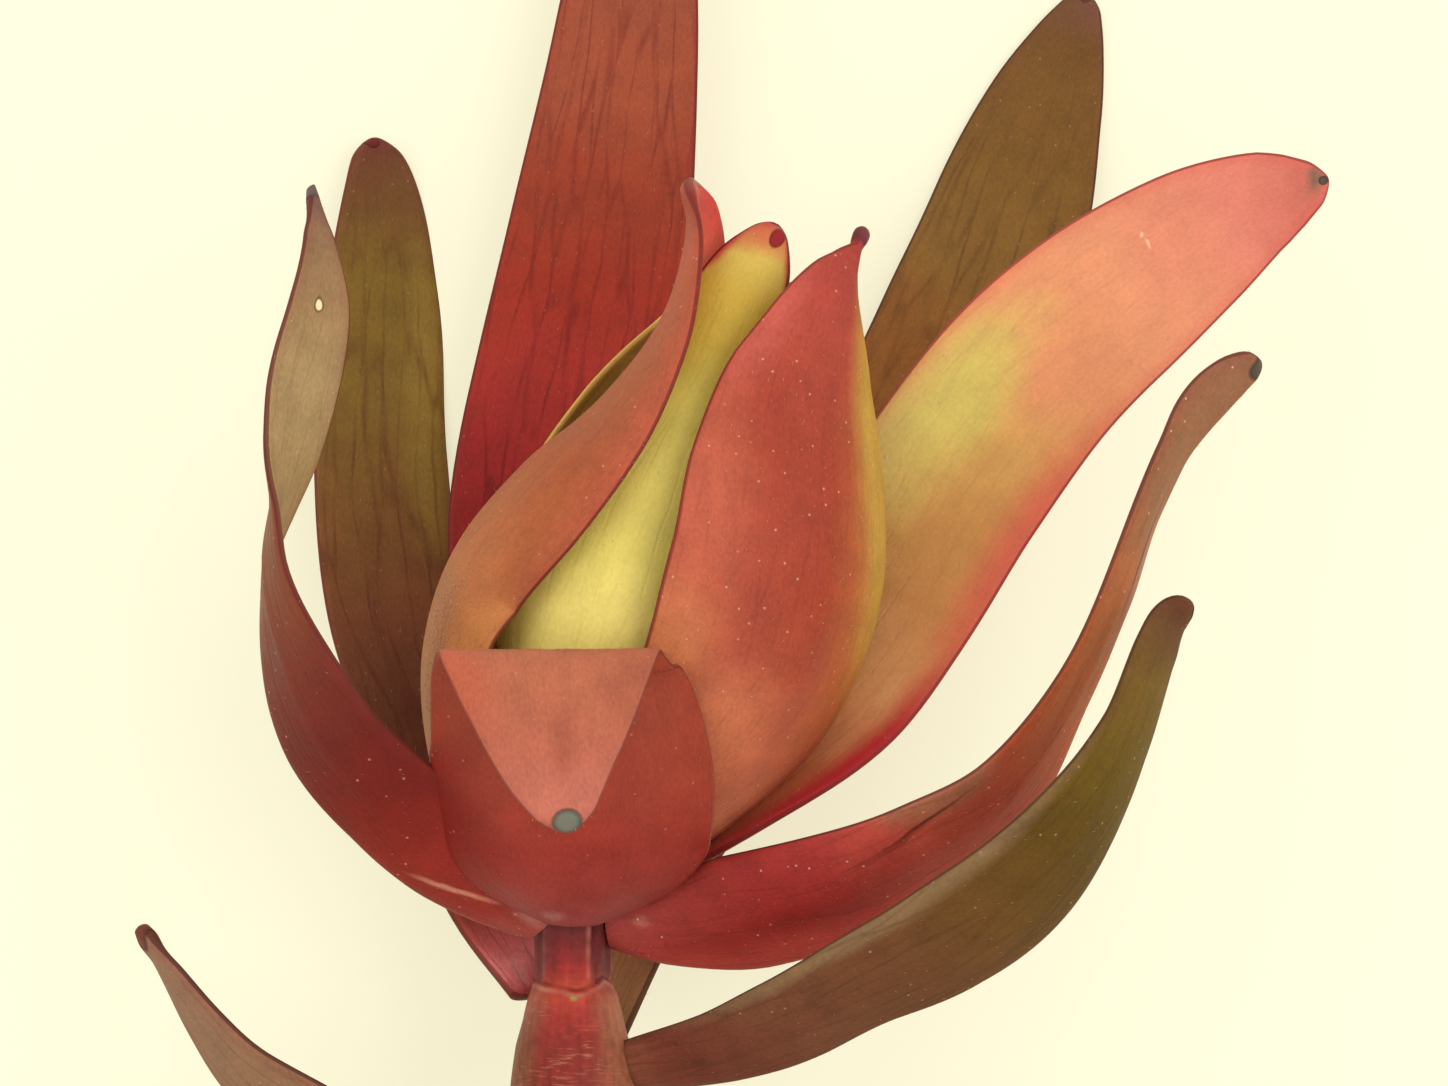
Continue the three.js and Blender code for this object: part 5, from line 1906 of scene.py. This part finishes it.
def head_blades() -> list[Blade]:
    """Give the bracts of the head and the leaves round it.

    Returns:
        The blades, from the foot to the tip of each.
    """
    return [
        Blade(
            "bract_front",
            "bract",
            FRONT_BRACT,
            down=(Down(0, 0.62, 1.3, 0.02, 0.3),),
            midrib=((0.1, 1.3, 3.2), (0.4, 4.7, 8.9), (0.5, 10, 13.2), (0.05, 15.3, 15.9),
                (-0.75, 19.7, 17.4), (-0.75, 21.3, 19.3), (-0.45, 18.4, 21.8), (0, 13.7, 23.4),
                (0.8, 9.3, 24)),
            width=((0, 5), (0.08, 12), (0.16, 17.8), (0.25, 21.6), (0.4, 22.6), (0.47, 21.8),
                (0.53, 20.4), (0.58, 19), (0.63, 17.4), (0.7, 15), (0.78, 12.3), (0.9, 7.6),
                (0.97, 4.1), (1, 2.3)),
            arc=((0, 60), (0.16, 88), (0.4, 90), (0.5, 80), (0.6, 62), (0.7, 42), (0.85, 16),
                (1, 4)),
            inside=(0, 0, -1),
            wave=0.06,
            rows=110,
            columns=37,
        ),
        Blade(
            "bract_left",
            "bract",
            LEFT_BRACT,
            down=(Down(0.45, 0.37, 0.3, 0.14, 0.25), Down(0.95, 0.55, 0.12, 0.3, 0.06)),
            midrib=((-2.2, 1.4, 0.6), (-7.3, 6, 0.6), (-10.1, 13, 1), (-10.7, 20.5, 1.6),
                (-8.5, 28, 2.5), (-3.4, 34.1, 4.5), (2.9, 39.8, 4.5), (7.5, 46.2, 3.5),
                (9.1, 52, 2.5), (8.9, 56.2, 2)),
            width=((0, 4.5), (0.15, 14), (0.35, 20.5), (0.5, 20.2), (0.65, 18), (0.8, 13.4),
                (0.92, 8.6), (0.97, 6), (1, 2.6)),
            turn=((0, 80), (0.2, 86), (0.36, 87), (0.48, 77), (0.6, 73), (0.7, 82), (0.8, 94),
                (0.88, 104), (1, 110)),
            arc=((0, 70), (0.2, 110), (0.7, 110), (0.9, 100), (1, 50)),
            rows=96,
            columns=33,
        ),
        Blade(
            "bract_right",
            "bract",
            RIGHT_BRACT,
            tip=((0, 0.9), (0.7, 1.25), (1.3, 1.1), (1.8, 0.85), (2.3, 1.4), (4, 4.8), (8, 60)),
            down=(Down(-0.2, 0.55, 0.9, 0.35, 0.02),),
            midrib=((1.8, 4.5, 2.6), (8.7, 9.8, 6.6), (14.8, 17.3, 9.4), (18.2, 26, 10.6),
                (19, 34, 9.9), (19.3, 42, 7.6), (19.9, 48, 5.5), (21.7, 52.4, 3)),
            width=((0, 4), (0.15, 13), (0.3, 22), (0.45, 24.5), (0.6, 22.1), (0.75, 15.8),
                (0.86, 9), (0.92, 4.6), (0.95, 2.3), (1, 1.5)),
            turn=((0, -40), (1, -40)),
            arc=((0, 60), (0.3, 105), (0.6, 105), (0.9, 80), (1, 30)),
            shift=((0, 0), (0.38, 0.06), (0.6, -0.03), (0.8, -0.15), (1, 0)),
            wave=0.1,
            rows=96,
            columns=33,
        ),
        Blade(
            "bract_inner",
            "inner_bract",
            INNER_BRACT,
            midrib=((0.2, 5.5, 3.2), (0.4, 12, 6.5), (1.5, 20, 9), (4.2, 28.5, 9.5), (8, 37.5, 8),
                (11.8, 46.2, 4.8), (15.2, 52.8, 2)),
            width=((0, 4), (0.2, 14), (0.4, 20), (0.52, 18), (0.6, 15), (0.7, 11.8), (0.8, 9),
                (0.86, 7.6), (0.93, 6), (1, 1.6)),
            turn=((0, 5), (1, 5)),
            arc=((0, 60), (0.3, 110), (0.7, 100), (1, 30)),
            wave=0.1,
        ),
        Blade(
            "bract_open",
            "open_bract",
            OPEN_BRACT,
            tip=((0, 1.8), (1, 3.4), (2.5, 5.4), (5, 8.8), (8, 60)),
            midrib=((2.6, 2.2, -0.8), (9.3, 8, -1.4), (16.8, 15.9, -2), (23.1, 24.4, -3),
                (28.6, 33.6, -4.5), (35.5, 42.6, -6), (43.8, 49.7, -6), (51.4, 54.6, -4.5),
                (57.2, 56.7, -3)),
            width=((0, 4), (0.15, 11.5), (0.3, 16.6), (0.4, 15.6), (0.6, 15), (0.75, 13.8),
                (0.86, 11.3), (0.94, 7.6), (0.98, 5), (1, 3)),
            turn=((0, 235), (0.3, 205), (0.5, 188), (0.8, 180), (1, 175)),
            arc=((0, 60), (0.3, 45), (0.6, 30), (1, 10)),
            rows=90,
        ),
        Blade(
            "bract_back_left",
            "bract",
            BACK_BRACT,
            midrib=((-1.6, 3.5, -2.6), (-4, 10, -7.5), (-4.5, 18, -10.5), (-2.8, 26, -11.5),
                (1.1, 34.1, -10.5), (5.5, 41.3, -8), (9.4, 47.6, -4.5)),
            width=((0, 4), (0.2, 11), (0.35, 14.2), (0.5, 14.8), (0.62, 15.4), (0.8, 12), (1, 2)),
            turn=((0, 150), (1, 145)),
            arc=((0, 60), (0.3, 90), (0.7, 90), (1, 30)),
        ),
        Blade(
            "bract_back",
            "bract",
            BACK_BRACT,
            midrib=((1.2, 4.5, -3), (3.8, 11, -8.5), (8.5, 19, -11.5), (12.5, 27, -12.5),
                (15, 35, -11.5), (16.5, 43, -8.5), (17, 49, -5)),
            width=((0, 4), (0.2, 14), (0.4, 21), (0.6, 21), (0.8, 13), (1, 2)),
            turn=((0, 200), (1, 200)),
            arc=((0, 60), (0.3, 100), (0.7, 90), (1, 30)),
        ),
        Blade(
            "leaf_tall_red",
            "red_leaf",
            TALL_RED_LEAF,
            midrib=((-0.6, -0.5, -3), (-1.8, 5, -8.5), (-2.6, 12, -13), (-2.3, 22, -16.5),
                (-1.2, 36.5, -19.5), (1.1, 52.7, -21.5), (3.2, 69.1, -23), (4.4, 82, -24.3),
                (5, 92, -25.2)),
            width=((0, 5), (0.1, 8), (0.25, 15), (0.37, 18.3), (0.5, 16.8), (0.62, 14.9),
                (0.74, 12.6), (0.82, 11), (0.9, 8.4), (0.96, 5), (1, 2.2)),
            turn=((0, 180), (1, 180)),
            arc=((0, 60), (0.3, 40), (1, 25)),
        ),
        Blade(
            "leaf_left_green",
            "green_leaf",
            GREEN_LEAF,
            midrib=((-2.8, -5.2, -2.8), (-6.8, 1.6, -8), (-11.5, 13, -14), (-15.2, 24, -18),
                (-16.9, 36.5, -22), (-16.9, 49, -25), (-17, 57.5, -26.4), (-17.6, 62.6, -26.9)),
            width=((0, 4.8), (0.1, 8), (0.25, 10.6), (0.45, 12.4), (0.6, 12.3), (0.75, 11.4),
                (0.88, 8.7), (0.96, 5.7), (1, 2.8)),
            turn=((0, 140), (0.2, 145), (1, 150)),
            arc=((0, 60), (0.3, 35), (1, 20)),
        ),
        Blade(
            "leaf_left_long",
            "red_leaf",
            LONG_LEAF,
            tip=((0, 0.4), (1, 0.85), (2, 1.3), (4, 3), (8, 60)),
            down=(Down(0, 0.03, 1.2, 0.05, 0.06),),
            midrib=((-1.8, 1, 1.6), (-6.6, 4.4, 5), (-12.1, 9.1, 9), (-17.1, 14.9, 12),
                (-19.9, 21.4, 13), (-21.1, 27.1, 13), (-20.6, 32.1, 12), (-19.3, 39.3, 11),
                (-17.9, 46.5, 10), (-18.1, 51.7, 9), (-18.7, 55, 8)),
            width=((0, 5), (0.15, 9.2), (0.35, 10), (0.55, 9), (0.7, 7.2), (0.85, 5.4), (0.94, 2.6),
                (1, 1.2)),
            turn=((0, 15), (0.2, 28), (0.4, 46), (0.52, 66), (0.62, 88), (0.7, 114), (0.82, 140),
                (1, 145)),
            arc=((0, 60), (0.3, 35), (1, 20)),
            rows=90,
        ),
        Blade(
            "leaf_back_right",
            "green_leaf",
            DARK_LEAF,
            midrib=((1.9, -8.4, -3.9), (4.4, -3, -8.5), (10, 8, -14.5), (18, 22, -19.3),
                (26.6, 37, -23.2), (33, 50.5, -26), (37.7, 64.5, -28.3), (41.6, 74.9, -29.3)),
            width=((0, 4.5), (0.12, 5), (0.25, 8), (0.4, 12), (0.55, 14.5), (0.68, 14.8),
                (0.8, 13.2), (0.9, 9.6), (0.96, 5.8), (1, 2.2)),
            turn=((0, 210), (0.5, 194), (0.7, 186), (1, 184)),
            arc=((0, 60), (0.3, 35), (1, 20)),
        ),
        Blade(
            "leaf_right_red",
            "red_leaf",
            SWEEPING_RED_LEAF,
            tip=((0, 1.4), (1, 2.6), (3, 4.4), (8, 60)),
            down=(Down(0, 0.03, 1.2, 0.05, 0.06), Down(0, 0.3, 1.2, 0.3, 0.01)),
            midrib=((2.6, 0.6, 0.8), (7.2, 0.45, 2.7), (12.2, 1.2, 5), (19.3, 3.4, 8.3),
                (25.8, 6.8, 10.4), (31.6, 10.8, 11.3), (36.6, 18.6, 11), (39.6, 25.1, 10.2),
                (42.2, 31.9, 9.2), (45.6, 38.4, 8.3), (48.6, 41.3, 7.8), (50.5, 42.2, 7.3)),
            width=((0, 4.4), (0.08, 7.6), (0.16, 10.4), (0.26, 10.8), (0.37, 9.8), (0.47, 8.6),
                (0.6, 6.1), (0.7, 5.1), (0.8, 4.7), (0.91, 4.6), (0.97, 3.6), (1, 2)),
            turn=((0, -18), (0.08, -22), (0.15, -27), (0.26, -35), (0.37, -43), (0.47, -46),
                (0.6, -54), (0.7, -54), (0.8, -63), (0.86, -62), (0.91, -48), (0.95, -38),
                (1, -35)),
            arc=((0, 60), (0.3, 40), (0.5, 22), (0.7, 12), (1, 14)),
            rows=90,
        ),
        Blade(
            "leaf_right_green",
            "green_leaf",
            SWEEPING_GREEN_LEAF,
            tip=((0, 1), (1, 2.4), (3, 4.6), (8, 60)),
            midrib=((4.3, -10.4, 0.5), (11.3, -8.1, 6.9), (16.1, -5.75, 10.9), (21, -2.9, 13.8),
                (26.7, 0.3, 16), (32.5, 4.8, 17.6), (37.4, 11.1, 18), (39.8, 15.5, 16.8),
                (42.1, 21.4, 14.5), (43.4, 23.6, 12.7), (44.8, 24.4, 11)),
            width=((0, 4.6), (0.15, 6.6), (0.35, 9.8), (0.55, 12), (0.7, 10.2), (0.82, 6.9),
                (0.93, 4.7), (1, 2)),
            turn=((0, -28), (0.2, -33), (0.35, -41), (0.6, -42), (0.8, -52), (1, -50)),
            arc=((0, 60), (0.3, 40), (1, 20)),
            rows=90,
        ),
        Blade(
            "leaf_low_left",
            "green_leaf",
            LOW_LEAF,
            tip=((0, 0.5), (1, 1.8), (2, 2.4), (6, 60)),
            midrib=((-4, -22, 0.5), (-8, -19, 3.5), (-13, -16.6, 5.5), (-18.8, -13.4, 7),
                (-23.6, -10, 7), (-26.7, -6.3, 6.7), (-29.3, -2.3, 6.2), (-31.5, 1, 6)),
            width=((0, 2.8), (0.08, 4.4), (0.2, 8), (0.5, 8.4), (0.74, 5.4), (0.88, 3.2),
                (0.94, 2.2), (1, 1.8)),
            turn=((0, 40), (0.6, 44), (1, 52)),
            arc=((0, 60), (0.3, 40), (1, 20)),
        ),
    ]


def stem_blades() -> list[Blade]:
    """Give the leaves of the lower stem, from the head downwards.

    Returns:
        The blades.
    """
    blades = []
    for i, place in enumerate(STEM_LEAVES, start=1):
        midrib, end = place.midrib()
        blades.append(
            Blade(
                f"stem_leaf_{i}",
                "green_leaf",
                STEM_LEAF,
                midrib=midrib,
                width=((0, 4.6), (0.1, 6), (0.35, 10.5), (0.6, 12.5), (0.8, 10.5), (0.92, 6.5),
                    (1, 2.2)),
                turn=((0, -place.azimuth), (0.35, end), (1, end)),
                arc=((0, 60), (0.3, 35), (1, 20)),
            )
        )
    return blades


@dataclass(frozen=True)
class Lamp:
    """A square soft light that points at the head: its place and side in m, its power in W."""

    name: str
    at: tuple[float, float, float]
    size: float
    power: float
    colour: str = "fffaf0"
    aim: tuple[float, float, float] = (5.0, 25.0, 5.0)  # in mm, in the flower's frame

    def hang(self) -> None:
        """Put the light in the scene."""
        data = bpy.data.lights.new(self.name, "AREA")
        data.shape = "SQUARE"
        data.size = self.size
        data.energy = self.power
        data.color = linear(self.colour)[:3]
        lamp = bpy.data.objects.new(self.name, data)
        bpy.context.scene.collection.objects.link(lamp)
        lamp.location = self.at
        towards = Vector(lay_down(np.array([self.aim]))[0]) - lamp.location
        lamp.rotation_euler = towards.to_track_quat("-Z", "Y").to_euler()


@dataclass
class Studio:
    """A plain pale surface, soft lights and the camera that looks down on the head."""

    floor_size: float = 2.4
    # The paper's colour is dimmed, and most of its brightness is a painted glow that lifts its
    # shadows
    paper: str = "9b998a"
    glow: str = "fffbd9"
    glow_strength: float = 0.65
    lamps: tuple[Lamp, ...] = (
        Lamp("key_light", (0.34, 0.1, 0.62), 0.4, 1.7),
        Lamp("fill_light", (-0.45, 0.35, 0.6), 0.6, 0.95),
    )
    sky: str = "fffdf8"
    sky_strength: float = 1.0

    def floor(self) -> bpy.types.Object:
        """Make the surface: cream paper with a faint painted glow, which keeps its shadows faint.

        Returns:
            The surface.
        """
        half = self.floor_size / 2
        corners = np.array([[-half, -half, 0], [half, -half, 0], [half, half, 0], [-half, half, 0]])
        made, tree, solid = start_material("cream_paper")
        fibre = add_node(tree, NOISE, {0: solid, 2: 1 / (1.5 * MM), 3: 4.0})
        cloud = add_node(tree, NOISE, {0: solid, 2: 1 / (60 * MM), 3: 2.0})
        both = math_node(tree, "ADD", fibre, cloud)
        shade = add_node(tree, RANGE, {0: both, 1: 0.5, 2: 1.5, 3: 0.985, 4: 1.0})
        end_material(
            tree,
            {
                "Base Color": shade_by(tree, linear(self.paper), shade),
                "Roughness": 0.9,
                # Painted light: the paper glows, though it is no lamp, so the shadows round the
                # flower stay faint
                "Emission Color": linear(self.glow),
                "Emission Strength": self.glow_strength,
            },
        )
        return make_piece("paper_surface", corners, [(0, 1, 2, 3)], [made])

    def camera(self) -> None:
        """Stand the camera in front of the head, square to the flower's own front."""
        data = bpy.data.cameras.new("camera")
        data.sensor_width = SENSOR_WIDTH
        data.lens = SENSOR_WIDTH * CAMERA_AT[2] / VIEW_WIDTH
        camera = bpy.data.objects.new("camera", data)
        bpy.context.scene.collection.objects.link(camera)
        camera.location = lay_down(np.array([CAMERA_AT]))[0]
        camera.rotation_euler = (np.radians(HEAD_TILT), 0, 0)
        bpy.context.scene.camera = camera

    def build(self) -> None:
        """Set up the surface, the lights, the sky and the camera."""
        self.floor()
        for lamp in self.lamps:
            lamp.hang()
        world = bpy.data.worlds.new("sky")
        bpy.context.scene.world = world
        world.use_nodes = True
        ground = world.node_tree.nodes["Background"]
        ground.inputs[0].default_value = linear(self.sky)
        ground.inputs[1].default_value = self.sky_strength
        self.camera()
        bpy.context.scene.view_settings.view_transform = "Standard"


def place(piece: bpy.types.Object, slot: str, *nodes: str) -> None:
    """Tie a piece to the frame.

    Args:
        piece: The piece.
        slot: Not used.
        nodes: The CAD nodes that it stands for.
    """
    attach(piece, BODY)
    if nodes:
        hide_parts(*nodes)
    LOG.info("%s: %d faces", piece.name, len(piece.data.polygons))


def dress_blades() -> None:
    """Build the leaves and bracts, and the short pale hairs that stand on them."""
    # Silky hairs, paler towards their ends, which catch the light along the blades
    hair = GrainFinish("short_silky_hair", "b8705c", "d8a890", "ecd2bc")
    for number, blade in enumerate([*head_blades(), *stem_blades()]):
        piece = blade.build()
        place(piece, blade.slot, blade.name)
        rule = Strewing(
            blade.name + "_hairs", Grain.HAIR, hair,
            length=0.34, width=0.03, thick=0.03, per_mm2=30, lift=0.5, seed=number,
        )
        place(rule.strew(piece), blade.slot)


def dress_stem() -> None:
    """Build the stem, the corky dots on its bark and the resting buds above its scars."""
    feet = tuple((leaf.y, leaf.azimuth) for leaf in STEM_LEAVES)
    stem = Stem(leaf_feet=feet, scars=SCARS)
    piece = stem.build()
    place(piece, "stem", "stem")

    # Corky dots, dry and paler than the red bark
    cork = GrainFinish("pale_corky_dots", "b89a74", "c4a880", "cdb48c")
    dots = Strewing(
        "stem_lenticels", Grain.LENTICEL, cork,
        length=0.62, width=0.3, thick=0.16, per_mm2=0.035, smallest=0.5,
    )
    place(dots.strew(piece), "stem")

    # Bud scales, brown at the foot and redder at the tip, one bud in the angle of each scar
    scales = GrainFinish("resting_bud_scales", "7a4a30", "8f6a40", "9a5a40")
    y, azimuth = np.array(SCARS).T
    y = y + 1.5
    points = stem.surface(y, azimuth, stem.relief(y, azimuth).height - 0.45)
    ways = unit(outward(azimuth) * 0.62 + np.array([0.0, 1.0, 0.0]))
    places = make_piece("bud_places", lay_down(points), [], [], {"growth": turn_down(ways)})
    buds = Strewing(
        "resting_buds", Grain.FLORET, scales,
        length=3.1, width=1.7, thick=1.3, smallest=0.8, seed=9,
    )
    place(buds.strew(places), "stem")
    bpy.data.objects.remove(places)


def main() -> None:
    """Build the flower and its studio, and tie each piece to the frame."""
    logging.basicConfig(level=logging.INFO, format="%(name)s %(message)s")
    dress_blades()
    dress_stem()
    core, florets = FlowerCone().build()
    place(core, "cone", "flower_cone")
    place(florets, "cone")
    Studio().build()


if __name__ == "__main__":
    main()
